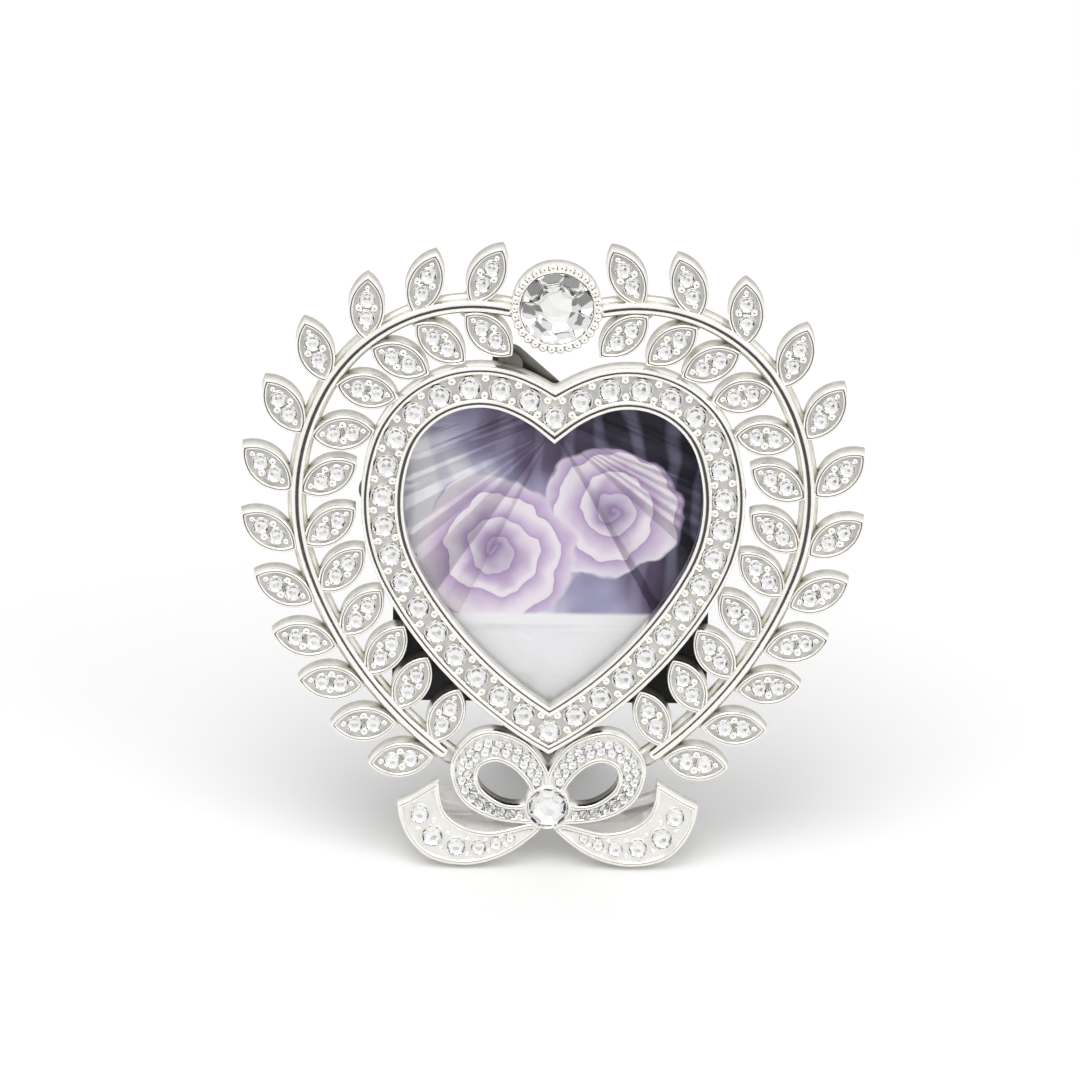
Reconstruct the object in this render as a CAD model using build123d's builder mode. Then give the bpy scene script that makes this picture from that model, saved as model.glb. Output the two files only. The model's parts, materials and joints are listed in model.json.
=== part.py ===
from build123d import *
from math import atan2, cos, degrees, pi, radians, sin, sqrt
import os

os.makedirs("parts", exist_ok=True)

# Standing pose: how far the face leans back, and how far the leg stands off the board
lean = 12.0
leg_open = 30.0

# Heart bezel: its middle line runs notch, shoulder, lobe, side, flank, tip
heart_rise = 52.5
heart_tip_height = 23.3
heart_shoulder_share = 0.4305
heart_lobe_share = 0.2848
heart_side_share = 0.5276
heart_notch_angle = 40.0
heart_shoulder_angle = 20.0
heart_lobe_angle = 91.6
heart_side_angle = 46.9
heart_band = 6.8
heart_depth = 5.0
outer_rim = 1.3
inner_rim = 1.45
channel_depth = 0.9
rabbet_ledge = 1.1

# Wreath stem: a flat band with a raised rod along its middle
stem_rise_share = 0.3171
stem_start = 5.0
stem_start_angle = 17.5
stem_shoulder_share = 0.5124
stem_side_share = 0.7105
stem_shoulder_angle = 79.1
stem_side_angle = 48.0
stem_end_reach = 16.0
stem_end_height = 18.2
stem_band = 3.0
stem_band_depth = 2.0
rod_width = 1.8
rod_depth = 3.9
rod_start_gap = 1.0

# Leaves, each a pointed cup that holds two stones
leaf_width_share = 0.1029
outer_leaf_share = 0.2076
inner_leaf_share = 0.1981
leaf_depth = 3.3
leaf_lift = 0.3
leaf_rim = 0.75
leaf_cup = 0.7
leaf_chords = 4
outer_leaf_stand_off = 0.8
inner_leaf_stand_off = 0.5

# Crown setting at the top of the wreath
crown_rise = 1.15
crown_bezel_radius = 7.2
crown_collar = 1.25
crown_bezel_depth = 4.4
crown_cup_depth = 1.2
crown_gem_rise = 1.9
crown_table_share = 0.56
crown_gem_sides = 16

# Bow under the heart, with a stone on its knot
bow_reach = 24.0
bow_rise = 22.85
bow_foot_line = 0.1
bow_depth = 3.9
bow_rim = 0.75
bow_cup = 0.5
knot_height = 10.2
knot_radius = 3.75
knot_depth = 4.2
knot_gem_radius = 3.3
knot_gem_rise = 1.1
knot_table_share = 0.6
knot_gem_sides = 12

# Stones
stone_table_share = 0.55
heart_stone_sides = 8
small_stone_sides = 6
heart_stone_radius = 1.82
heart_stone_height = 1.35
tail_stone_height = 0.9
leaf_stone_radius = 1.15
leaf_stone_height = 0.95

# Pane, print and board behind the heart
pane_thickness = 1.0
insert_thickness = 0.4
board_margin = 1.1
board_thickness = 2.2
board_corner = 0.8

# Turn buttons that hold the board, on bosses behind the heart
boss_radius = 1.6
button_pivot_radius = 2.8
button_tip_radius = 1.6
button_length = 10.0
button_thickness = 0.6
top_button_reach = 7.3
top_button_gap = 5.5
top_button_angle = -34.3
side_button_gap = 3.0
side_button_rise = 9.25
screw_radius = 0.8
screw_head_radius = 1.5
screw_head_height = 0.8

# Easel leg and its pressed hinge
hinge_rise = 7.75
hinge_width = 16.0
hinge_leaf = 8.0
hinge_metal = 0.5
knuckle_radius = 1.1
knuckle_width = 4.0
pin_radius = 0.6
leg_top_width = 18.0
leg_foot_width = 13.0
leg_thickness = 2.0
rivet_radius = 1.2
rivet_height = 0.4
rivet_spacing = 9.0
hinge_rivet_share = 0.6
fastener_sides = 12

# Clearances and the overrun of cutting tools
solder_gap = 0.04
seat_gap = 0.02
pane_gap = 0.15
running_gap = 0.06
plate_gap = 0.1
swing_gap = 0.15
overrun = 5.0

# Places along the wreath, as shares of the stem's length, with each leaf's angle to the stem
outer_leaf_shares = (0.083, 0.167, 0.247, 0.33, 0.415, 0.502, 0.592, 0.677, 0.753, 0.826, 0.902, 0.977)
outer_leaf_angles = (60, 50, 49, 52, 51, 50, 44, 42, 48, 48, 48, 46)
inner_leaf_shares = (0.092, 0.169, 0.246, 0.325, 0.414, 0.504, 0.588, 0.665, 0.743, 0.815, 0.885, 0.963)
inner_leaf_angles = (45, 59, 63, 69, 68, 59, 64, 66, 68, 72, 72, 74)
leaf_stone_shares = (0.36, 0.66)
side_stone_count = 17

# Bow outlines, as shares of its reach and rise: corner, point on the way, next corner
loop_outer_shares = (
    (0.0, 0.696), (0.108, 0.875), (0.383, 1.0), (0.583, 0.884), (0.65, 0.696),
    (0.567, 0.469), (0.346, 0.339), (0.217, 0.317), (0.083, 0.3125),
)
loop_hole_shares = (
    (0.125, 0.58), (0.222, 0.706), (0.342, 0.768), (0.442, 0.732), (0.467, 0.643),
    (0.425, 0.549), (0.308, 0.464), (0.25, 0.443), (0.19, 0.448),
)
tail_inner_shares = ((0.725, 0.616), (0.683, 0.393), (0.504, 0.263), (0.375, 0.2455), (0.221, 0.286))
tail_low_share = 0.567
tail_knot_share = (0.042, 0.281)
tail_tip_share = (1.0, 0.446)
tail_notch_share = (0.908, 0.491)
tail_root_share = (0.083, 0.3125)
tail_stone_shares = (
    (0.85, 0.375, 0.85), (0.765, 0.215, 0.94), (0.605, 0.138, 0.85),
    (0.455, 0.132, 0.7), (0.34, 0.16, 0.56), (0.245, 0.205, 0.44),
)

# The heart and the wreath round it grow together, from the heart's height between notch and tip
heart_notch_height = heart_tip_height + heart_rise
heart_shoulder_radius = heart_shoulder_share * heart_rise
heart_lobe_radius = heart_lobe_share * heart_rise
heart_side_radius = heart_side_share * heart_rise
stem_top_height = heart_notch_height + stem_rise_share * heart_rise
stem_shoulder_radius = stem_shoulder_share * heart_rise
stem_side_radius = stem_side_share * heart_rise
leaf_width = leaf_width_share * heart_rise
outer_leaf_length = outer_leaf_share * heart_rise
inner_leaf_length = inner_leaf_share * heart_rise
crown_height = stem_top_height + crown_rise


def grown(sketch, amount):
    """Flat outline moved outwards, or inwards where the amount is negative."""
    return offset(sketch, amount=amount, kind=Kind.ARC, mode=Mode.PRIVATE)


def heart_path(grow):
    """Right half of the heart from notch to tip, moved outwards by this much."""
    slope = Vector(cos(radians(heart_notch_angle)), sin(radians(heart_notch_angle)))
    start = Vector(0, heart_notch_height) + Vector(-slope.Y, slope.X) * grow
    shoulder = JernArc(start, slope, heart_shoulder_radius + grow, -heart_shoulder_angle)
    lobe = JernArc(shoulder @ 1, shoulder % 1, heart_lobe_radius + grow, -heart_lobe_angle)
    side = JernArc(lobe @ 1, lobe % 1, heart_side_radius + grow, -heart_side_angle)
    inward = Vector(side.tangent_at(1).Y, -side.tangent_at(1).X)
    middle_end = (side @ 1) + inward * grow
    chord = Vector(0, heart_tip_height) - middle_end
    turn = 2 * (side % 1).get_angle(chord)
    flank_radius = chord.length / 2 / sin(radians(turn / 2))
    flank = JernArc(side @ 1, side % 1, flank_radius + grow, -turn)
    return [shoulder, lobe, side, flank]


def heart_shape(grow):
    """Whole heart whose edge runs this far outside the middle line of the band."""
    edges = heart_path(grow)
    first = edges[0]
    last = edges[-1]
    run_in = (first @ 0) - (first % 0) * heart_band
    run_out = (last @ 1) + (last % 1) * heart_band
    with BuildSketch() as shape:
        with BuildLine():
            Line(run_in, first @ 0)
            add(edges)
            Line(last @ 1, run_out)
            Line(run_out, run_in)
        make_face()
        split(bisect_by=Plane.YZ, keep=Keep.TOP)
        mirror(about=Plane.YZ)
    return shape.sketch


# Middle line of the heart and the outlines that follow it
with BuildLine() as heart_line:
    add(heart_path(0))
half_heart = heart_line.wires()[0]
heart_outline = heart_shape(heart_band / 2)
heart_opening = heart_shape(-heart_band / 2)
channel_outline = heart_shape(heart_band / 2 - outer_rim)
channel_inside = heart_shape(inner_rim - heart_band / 2)
rabbet_outline = heart_shape(rabbet_ledge - heart_band / 2)
pane_outline = heart_shape(rabbet_ledge - pane_gap - heart_band / 2)
heart_clearance = heart_shape(heart_band / 2 + solder_gap)

# The board covers the opening, and carries the hinge and the buttons' places with it
opening_box = heart_opening.bounding_box()
board_size = opening_box.size.Y + board_margin
board_height = (opening_box.min.Y + opening_box.max.Y) / 2
hinge_height = board_height + hinge_rise
top_button_height = board_height + board_size / 2 + top_button_gap
side_button_height = board_height + side_button_rise
side_button_reach = board_size / 2 + side_button_gap

# The face plane stands on the tails of the bow, the leg on its foot, and the origin lies midway
board_back = -board_thickness
pin_level = board_back - knuckle_radius
leg_lean = lean - leg_open
leg_front = knuckle_radius + swing_gap
pin_rise = (hinge_height - bow_foot_line) * cos(radians(lean)) + pin_level * sin(radians(lean))
pin_run = (hinge_height - bow_foot_line) * sin(radians(lean)) - pin_level * cos(radians(lean))
heel = leg_front + leg_thickness
foot_slide = (pin_rise - heel * sin(radians(leg_lean))) / cos(radians(leg_lean))
foot_run = pin_run - foot_slide * sin(radians(leg_lean)) + heel * cos(radians(leg_lean))
front_run = -bow_depth * cos(radians(lean))
contact_run = -(foot_run + front_run) / 2
face_origin = (
    0,
    contact_run - bow_foot_line * sin(radians(lean)),
    -bow_foot_line * cos(radians(lean)),
)
face = Plane(origin=face_origin, x_dir=(1, 0, 0), z_dir=(0, -cos(radians(lean)), sin(radians(lean))))


def level(height):
    """Plane parallel to the face, this far in front of the castings' back."""
    return face.offset(height)


def bow_point(share):
    """Place on the bow from its shares of reach and rise."""
    return (share[0] * bow_reach, bow_foot_line + share[1] * bow_rise)


# Outlines of the bow
loop_points = [bow_point(share) for share in loop_outer_shares]
hole_points = [bow_point(share) for share in loop_hole_shares]
tail_points = [bow_point(share) for share in tail_inner_shares]
tail_low = bow_point((tail_low_share, 0))

with BuildSketch() as right_loop:
    with BuildLine():
        for first in range(0, len(loop_points) - 1, 2):
            ThreePointArc(*loop_points[first:first + 3])
        Line(loop_points[-1], (0, loop_points[-1][1]))
        Line((0, loop_points[-1][1]), loop_points[0])
    make_face()
with BuildSketch() as right_hole:
    with BuildLine():
        for first in range(0, len(hole_points) - 1, 2):
            ThreePointArc(*hole_points[first:first + 3])
        Line(hole_points[-1], hole_points[0])
    make_face()
with BuildSketch() as right_tail:
    with BuildLine():
        TangentArc(tail_low, bow_point(tail_knot_share), tangent=(-1, 0))
        TangentArc(tail_low, bow_point(tail_tip_share), tangent=(1, 0))
        Polyline(bow_point(tail_tip_share), bow_point(tail_notch_share), tail_points[0])
        ThreePointArc(*tail_points[0:3])
        ThreePointArc(*tail_points[2:5])
        Polyline(tail_points[-1], bow_point(tail_root_share), bow_point(tail_knot_share))
    make_face()
with BuildSketch() as bow_ribbon:
    add(right_loop.sketch)
    add(right_tail.sketch)
    mirror(about=Plane.YZ)
    with Locations((0, knot_height)):
        Circle(knot_radius)
with BuildSketch() as bow_holes:
    add(right_hole.sketch)
    mirror(about=Plane.YZ)
with BuildSketch() as bow_outline:
    add(bow_ribbon.sketch)
    add(bow_holes.sketch, mode=Mode.SUBTRACT)
    add(heart_clearance, mode=Mode.SUBTRACT)
with BuildSketch() as loop_cup:
    add(grown(right_loop.sketch, -bow_rim))
    add(grown(right_hole.sketch, bow_rim), mode=Mode.SUBTRACT)
    with Locations((0, knot_height)):
        Circle(knot_radius, mode=Mode.SUBTRACT)
with BuildSketch() as tail_cup:
    add(grown(right_tail.sketch, -bow_rim))
    with Locations((0, knot_height)):
        Circle(knot_radius, mode=Mode.SUBTRACT)

# Line of the right stem and the leaves along it
with BuildLine() as stem_line:
    stem_slope = (cos(radians(stem_start_angle)), sin(radians(stem_start_angle)))
    crook = JernArc((stem_start, stem_top_height), stem_slope, stem_shoulder_radius, -stem_shoulder_angle)
    sweep_down = JernArc(crook @ 1, crook % 1, stem_side_radius, -stem_side_angle)
    TangentArc(sweep_down @ 1, (stem_end_reach, stem_end_height), tangent=sweep_down % 1)
stem_wire = stem_line.wires()[0]


def leaf_sketch(length, rim):
    """Pointed leaf along +X from the origin, less a rim all round, each side a run of short chords."""
    half_width = leaf_width / 2
    side_radius = (length * length / 4 + half_width * half_width) / (2 * half_width)
    sag = side_radius - half_width
    upper = []
    for step in range(leaf_chords + 1):
        along = length * step / leaf_chords
        upper.append((along, sqrt(side_radius * side_radius - (along - length / 2) ** 2) - sag))
    lower = [(along, -rise) for along, rise in upper[-2:0:-1]]
    with BuildSketch() as leaf:
        with BuildLine():
            Polyline(*upper, *lower, close=True)
        make_face()
        if rim:
            offset(amount=-rim, kind=Kind.INTERSECTION, mode=Mode.REPLACE)
    return leaf.sketch


def leaf_places(shares, angles, stand_off, turn):
    """Where each leaf starts and points, beside the stem: turn is 1 outside and -1 inside."""
    places = []
    for share, angle in zip(shares, angles):
        upward = -(stem_wire % share)
        outward = Vector(upward.Y, -upward.X) * turn
        start = (stem_wire @ share) + outward * stand_off
        heading = degrees(atan2(upward.Y, upward.X)) - angle * turn
        places.append(Location((start.X, start.Y, 0), (0, 0, heading)))
    return places


outer_places = leaf_places(outer_leaf_shares, outer_leaf_angles, outer_leaf_stand_off, 1)
inner_places = leaf_places(inner_leaf_shares, inner_leaf_angles, inner_leaf_stand_off, -1)

# What the wreath has to stay clear of: heart, crown setting and bow
with BuildSketch() as neighbours:
    add(heart_clearance)
    add(grown(right_loop.sketch, solder_gap))
    add(grown(right_tail.sketch, solder_gap))
    with Locations((0, crown_height)):
        Circle(crown_bezel_radius + solder_gap)
with BuildSketch() as rod_stops:
    add(grown(right_loop.sketch, rod_start_gap))
    with Locations((0, crown_height)):
        Circle(crown_bezel_radius + rod_start_gap)

# Heart bezel: rims, stone channel, opening, rear rabbet and the bosses of the turn buttons
boss_places = (
    (-top_button_reach, top_button_height),
    (-side_button_reach, side_button_height),
    (side_button_reach, side_button_height),
)
boss_height = board_thickness + plate_gap / 2
with BuildPart() as heart_frame:
    with BuildSketch(level(0)):
        add(heart_outline)
        add(heart_opening, mode=Mode.SUBTRACT)
    extrude(amount=heart_depth)
    with BuildSketch(level(heart_depth)):
        add(channel_outline)
        add(channel_inside, mode=Mode.SUBTRACT)
    extrude(amount=-channel_depth, mode=Mode.SUBTRACT)
    with BuildSketch(level(0)):
        add(rabbet_outline)
    extrude(amount=pane_thickness + insert_thickness, mode=Mode.SUBTRACT)
    with BuildSketch(level(-boss_height)):
        with Locations(*boss_places):
            RegularPolygon(boss_radius, fastener_sides)
    extrude(amount=boss_height)
    with BuildSketch(level(-boss_height)):
        with Locations(*boss_places):
            RegularPolygon(screw_radius + seat_gap, fastener_sides)
    extrude(amount=boss_height, mode=Mode.SUBTRACT)
heart_frame.part.label = "heart_frame"
export_step(heart_frame.part, "parts/heart_frame.step")

# Right spray: band, rod and both rows of leaves in one casting, and its mirror image
with BuildPart() as spray_right:
    with BuildSketch(level(leaf_lift)):
        trace(stem_wire, line_width=stem_band)
        add(neighbours.sketch, mode=Mode.SUBTRACT)
    extrude(amount=stem_band_depth - leaf_lift)
    for places, length in ((outer_places, outer_leaf_length), (inner_places, inner_leaf_length)):
        with BuildSketch(level(leaf_lift)):
            with Locations(*places):
                add(leaf_sketch(length, 0))
            add(neighbours.sketch, mode=Mode.SUBTRACT)
        extrude(amount=leaf_depth - leaf_lift)
        with BuildSketch(level(leaf_depth)):
            with Locations(*places):
                add(leaf_sketch(length, leaf_rim))
        extrude(amount=-leaf_cup, mode=Mode.SUBTRACT)
    with BuildSketch(level(leaf_lift)):
        trace(stem_wire, line_width=rod_width)
        add(rod_stops.sketch, mode=Mode.SUBTRACT)
    extrude(amount=rod_depth - leaf_lift)
spray_right.part.label = "spray_right"
export_step(spray_right.part, "parts/spray_right.step")

with BuildPart() as spray_left:
    add(mirror(spray_right.part, about=Plane.YZ, mode=Mode.PRIVATE))
spray_left.part.label = "spray_left"
export_step(spray_left.part, "parts/spray_left.step")

# Crown setting: a plain walled cup with a collar, and its cut stone
crown_cup_radius = crown_bezel_radius - crown_collar
crown_gem_radius = crown_cup_radius - seat_gap
with BuildPart() as crown_bezel:
    with BuildSketch(level(0)):
        with Locations((0, crown_height)):
            Circle(crown_bezel_radius)
    extrude(amount=crown_bezel_depth)
    with BuildSketch(level(crown_bezel_depth)):
        with Locations((0, crown_height)):
            Circle(crown_cup_radius)
    extrude(amount=-crown_cup_depth, mode=Mode.SUBTRACT)
crown_bezel.part.label = "crown_bezel"
export_step(crown_bezel.part, "parts/crown_bezel.step")


def cut_stone(radius, table_share, height, sides):
    """Flat-backed stone standing on XY: a many-sided crown that narrows to its table."""
    facet_run = (1 - table_share) * radius * cos(pi / sides)
    with BuildPart() as stone:
        with BuildSketch(Plane.XY):
            RegularPolygon(radius, sides)
        extrude(amount=height, taper=degrees(atan2(facet_run, height)))
    return stone.part


def set_stones(places, base, stone):
    """Stones seated at these places on a level above the castings' back."""
    with BuildPart(level(base)) as stones:
        with Locations(*places):
            add(stone)
    return stones.part


crown_gem = set_stones(
    [(0, crown_height)],
    crown_bezel_depth - crown_cup_depth,
    cut_stone(crown_gem_radius, crown_table_share, crown_cup_depth + crown_gem_rise, crown_gem_sides),
)
crown_gem.label = "crown_gem"
export_step(crown_gem, "parts/crown_gem.step")

# Bow: rimmed loops and tails with sunk pave beds, and the cup of the knot
with BuildPart() as bow:
    with BuildSketch(level(0)):
        add(bow_outline.sketch)
    extrude(amount=bow_depth)
    with BuildSketch(level(bow_depth)):
        add(loop_cup.sketch)
        add(tail_cup.sketch)
        mirror(about=Plane.YZ)
    extrude(amount=-bow_cup, mode=Mode.SUBTRACT)
    with BuildSketch(level(0)):
        with Locations((0, knot_height)):
            Circle(knot_radius)
    extrude(amount=knot_depth)
bow.part.label = "bow"
export_step(bow.part, "parts/bow.step")

bow_gem = set_stones(
    [(0, knot_height)],
    knot_depth,
    cut_stone(knot_gem_radius, knot_table_share, knot_gem_rise, knot_gem_sides),
)
bow_gem.label = "bow_gem"
export_step(bow_gem, "parts/bow_gem.step")

# Stones of the heart channel: notch, tip and the same row down each side
heart_stone = cut_stone(heart_stone_radius, stone_table_share, heart_stone_height, heart_stone_sides)
side_spots = [half_heart @ (step / (side_stone_count + 1)) for step in range(1, side_stone_count + 1)]
heart_spots = [(0, heart_notch_height), (0, heart_tip_height)]
for spot in side_spots:
    heart_spots += [(spot.X, spot.Y), (-spot.X, spot.Y)]
heart_stones = set_stones(heart_spots, heart_depth - channel_depth, heart_stone)
heart_stones.label = "heart_stones"
export_step(heart_stones, "parts/heart_stones.step")

# Two stones in the cup of every leaf, and their mirror images
leaf_stone = cut_stone(leaf_stone_radius, stone_table_share, leaf_stone_height, small_stone_sides)
leaf_spots = []
for places, length in ((outer_places, outer_leaf_length), (inner_places, inner_leaf_length)):
    for place in places:
        for share in leaf_stone_shares:
            leaf_spots.append(place * Location((share * length, 0, 0)))
leaf_stones_right = set_stones(leaf_spots, leaf_depth - leaf_cup, leaf_stone)
leaf_stones_right.label = "leaf_stones_right"
export_step(leaf_stones_right, "parts/leaf_stones_right.step")

with BuildPart() as leaf_stones_left:
    add(mirror(leaf_stones_right, about=Plane.YZ, mode=Mode.PRIVATE))
leaf_stones_left.part.label = "leaf_stones_left"
export_step(leaf_stones_left.part, "parts/leaf_stones_left.step")

# Graded stones along both tails of the bow: each row gives place and size
with BuildPart(level(bow_depth - bow_cup)) as tail_stones:
    for across, up, size in tail_stone_shares:
        radius = size * heart_stone_radius
        graded_stone = cut_stone(radius, stone_table_share, size * tail_stone_height, small_stone_sides)
        spot = bow_point((across, up))
        with Locations(spot, (-spot[0], spot[1])):
            add(graded_stone)
tail_stones.part.label = "tail_stones"
export_step(tail_stones.part, "parts/tail_stones.step")

# Clear pane and print, heart shaped, in the rabbet behind the opening
with BuildPart() as photo_insert:
    with BuildSketch(level(0)):
        add(pane_outline)
    extrude(amount=insert_thickness)
photo_insert.part.label = "photo_insert"
export_step(photo_insert.part, "parts/photo_insert.step")

with BuildPart() as clear_pane:
    with BuildSketch(level(insert_thickness)):
        add(pane_outline)
    extrude(amount=pane_thickness)
clear_pane.part.label = "clear_pane"
export_step(clear_pane.part, "parts/clear_pane.step")

# Square back board
with BuildPart() as back_board:
    with BuildSketch(level(board_back)):
        with Locations((0, board_height)):
            Rectangle(board_size, board_size)
        chamfer(vertices(), board_corner)
    extrude(amount=board_thickness)
back_board.part.label = "back_board"
export_step(back_board.part, "parts/back_board.step")

# Turn buttons: pear shaped plates that swing on screws over the edge of the board
button_level = -boss_height - plate_gap / 2


def turn_button(pivot, angle):
    """Pear shaped plate with its hole on the pivot and its tip at this angle."""
    tip = (
        pivot[0] + button_length * cos(radians(angle)),
        pivot[1] + button_length * sin(radians(angle)),
    )
    with BuildPart() as button:
        with BuildSketch(level(button_level)):
            with Locations(pivot):
                Circle(button_pivot_radius)
            with Locations(tip):
                Circle(button_tip_radius)
            make_hull()
            with Locations(pivot):
                Circle(screw_radius + running_gap, mode=Mode.SUBTRACT)
        extrude(amount=-button_thickness)
    return button.part


button_angles = {"turn_button_top": top_button_angle, "turn_button_left": 0, "turn_button_right": 180}
for (name, angle), pivot in zip(button_angles.items(), boss_places):
    button = turn_button(pivot, angle)
    button.label = name
    export_step(button, f"parts/{name}.step")

screw_seat = button_level - button_thickness - plate_gap
with BuildPart() as button_screws:
    with BuildSketch(level(screw_seat)):
        with Locations(*boss_places):
            RegularPolygon(screw_radius, fastener_sides)
    extrude(amount=-screw_seat)
    with BuildSketch(level(screw_seat)):
        with Locations(*boss_places):
            RegularPolygon(screw_head_radius, fastener_sides)
    extrude(amount=-screw_head_height)
button_screws.part.label = "button_screws"
export_step(button_screws.part, "parts/button_screws.step")

# Pressed hinge: a leaf on the board with two rolled knuckles, another on the leg with one
pin_centre = level(pin_level).from_local_coords(Vector(0, hinge_height, 0))
leg_plane = Plane(
    origin=pin_centre,
    x_dir=(1, 0, 0),
    z_dir=(0, -cos(radians(leg_lean)), sin(radians(leg_lean))),
)
across = Plane(origin=pin_centre, x_dir=(0, 1, 0), z_dir=(1, 0, 0))


def barrel(start, length, radius):
    """Round bar along the pin's axis, from this distance right of its middle."""
    with BuildPart() as bar:
        with BuildSketch(across.offset(start)):
            Circle(radius)
        extrude(amount=length)
    return bar.part


outer_knuckle = hinge_width / 2 - knuckle_width
with BuildPart() as hinge_plate:
    with BuildSketch(level(board_back)):
        with Locations((0, hinge_height)):
            Rectangle(hinge_width, hinge_leaf + knuckle_radius, align=(Align.CENTER, Align.MIN))
        with Locations((0, hinge_height)):
            Rectangle(2 * outer_knuckle, 2 * (knuckle_radius + swing_gap), mode=Mode.SUBTRACT)
    extrude(amount=-hinge_metal)
    add(barrel(outer_knuckle, knuckle_width, knuckle_radius))
    add(barrel(-hinge_width / 2, knuckle_width, knuckle_radius))
    add(barrel(-hinge_width / 2, hinge_width, pin_radius + seat_gap), mode=Mode.SUBTRACT)
hinge_plate.part.label = "hinge_plate"
export_step(hinge_plate.part, "parts/hinge_plate.step")

hinge_pin = barrel(-hinge_width / 2, hinge_width, pin_radius)
hinge_pin.label = "hinge_pin"
export_step(hinge_pin, "parts/hinge_pin.step")

centre_knuckle = 2 * (outer_knuckle - plate_gap)
with BuildPart() as leg_bracket:
    with BuildSketch(leg_plane.offset(-knuckle_radius)):
        Rectangle(centre_knuckle, hinge_leaf + 2 * knuckle_radius, align=(Align.CENTER, Align.MAX))
    extrude(amount=hinge_metal)
    add(barrel(-centre_knuckle / 2, centre_knuckle, knuckle_radius))
    add(barrel(-centre_knuckle / 2, centre_knuckle, pin_radius + running_gap), mode=Mode.SUBTRACT)
leg_bracket.part.label = "leg_bracket"
export_step(leg_bracket.part, "parts/leg_bracket.step")

# Leg: tapered board whose heel meets the hinge leaf when open, cut flat at the floor
heel_reach = knuckle_radius - hinge_metal - plate_gap + leg_front * cos(radians(leg_open))
heel_rise = heel_reach / sin(radians(leg_open))
with BuildPart() as easel_leg:
    with BuildSketch(leg_plane.offset(-leg_front)):
        with BuildLine():
            Polyline(
                (-leg_top_width / 2, heel_rise),
                (leg_top_width / 2, heel_rise),
                (leg_foot_width / 2, -foot_slide - overrun),
                (-leg_foot_width / 2, -foot_slide - overrun),
                close=True,
            )
        make_face()
    extrude(amount=-leg_thickness)
    split(bisect_by=Plane.XY, keep=Keep.TOP)
easel_leg.part.label = "easel_leg"
export_step(easel_leg.part, "parts/easel_leg.step")

# Rivets, whose clinched heads show on the hinge leaves and behind the leg
hinge_rivet_height = hinge_height + knuckle_radius + hinge_rivet_share * hinge_leaf
leg_rivet_places = ((0, -hinge_leaf / 3 - knuckle_radius), (0, -hinge_leaf))
with BuildPart() as hinge_rivets:
    with BuildSketch(level(board_back - hinge_metal)):
        with Locations((-rivet_spacing / 2, hinge_rivet_height), (rivet_spacing / 2, hinge_rivet_height)):
            RegularPolygon(rivet_radius, fastener_sides)
    extrude(amount=-rivet_height)
hinge_rivets.part.label = "hinge_rivets"
export_step(hinge_rivets.part, "parts/hinge_rivets.step")

with BuildPart() as leg_rivets:
    with BuildSketch(leg_plane.offset(-leg_front - leg_thickness)):
        with Locations(*leg_rivet_places):
            RegularPolygon(rivet_radius, fastener_sides)
    extrude(amount=-rivet_height)
leg_rivets.part.label = "leg_rivets"
export_step(leg_rivets.part, "parts/leg_rivets.step")
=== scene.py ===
"""Heart shaped photo frame in a wreath of leaves: the dressed model, its floor, light and camera."""
from __future__ import annotations

import json
import logging
import math
from dataclasses import dataclass, field
from enum import Enum

import bmesh
import bpy
from mathutils import Matrix, Vector

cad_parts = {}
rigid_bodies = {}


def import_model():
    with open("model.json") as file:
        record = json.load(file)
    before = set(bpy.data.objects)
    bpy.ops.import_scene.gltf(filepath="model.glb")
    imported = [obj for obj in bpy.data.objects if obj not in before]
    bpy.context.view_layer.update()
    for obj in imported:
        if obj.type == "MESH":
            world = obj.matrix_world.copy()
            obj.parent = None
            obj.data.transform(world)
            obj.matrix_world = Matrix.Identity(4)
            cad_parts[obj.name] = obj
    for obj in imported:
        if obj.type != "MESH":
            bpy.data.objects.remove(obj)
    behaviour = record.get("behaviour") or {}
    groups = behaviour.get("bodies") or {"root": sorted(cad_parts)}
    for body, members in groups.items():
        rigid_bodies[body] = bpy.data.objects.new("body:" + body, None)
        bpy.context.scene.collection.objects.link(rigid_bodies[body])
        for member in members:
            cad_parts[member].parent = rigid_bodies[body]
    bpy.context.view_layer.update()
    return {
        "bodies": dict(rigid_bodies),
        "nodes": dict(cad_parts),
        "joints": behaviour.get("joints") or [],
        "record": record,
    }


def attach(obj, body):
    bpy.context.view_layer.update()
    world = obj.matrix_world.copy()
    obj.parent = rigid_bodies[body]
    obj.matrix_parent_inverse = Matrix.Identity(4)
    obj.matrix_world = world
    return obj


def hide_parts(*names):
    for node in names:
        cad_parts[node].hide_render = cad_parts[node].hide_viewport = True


LOG = logging.getLogger("frame")

MM = 0.001
LEAN = 12.0  # degrees that the face leans back from upright
LEG_LEAN = -18.0  # degrees that the leg leans the other way
HINGE_HEIGHT = 60.01  # mm up the face to the hinge's pin
PIN_LEVEL = -3.3  # mm behind the castings' back
FACE_ORIGIN = (0.0, -17.0731, -0.0978)
WELD = 0.0005  # mm below which two points are one
BUTTON_SPOTS = ((-7.3, 83.28), (-28.515, 61.51), (28.515, 61.51))  # mm on the face: top, left, right

Tree = bpy.types.NodeTree
Socket = bpy.types.NodeSocket
Material = bpy.types.Material
Piece = bpy.types.Object
Colour = tuple[float, float, float, float]
Point = tuple[float, float]  # X and Y on the face, in mm
Station = tuple[float, float]  # distance or radius, and height, in mm
Triple = tuple[float, float, float]  # X and Y with a height or a radius, in mm
Stone = tuple[float, float, float, float]  # X, Y, radius and turn in degrees


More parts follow.
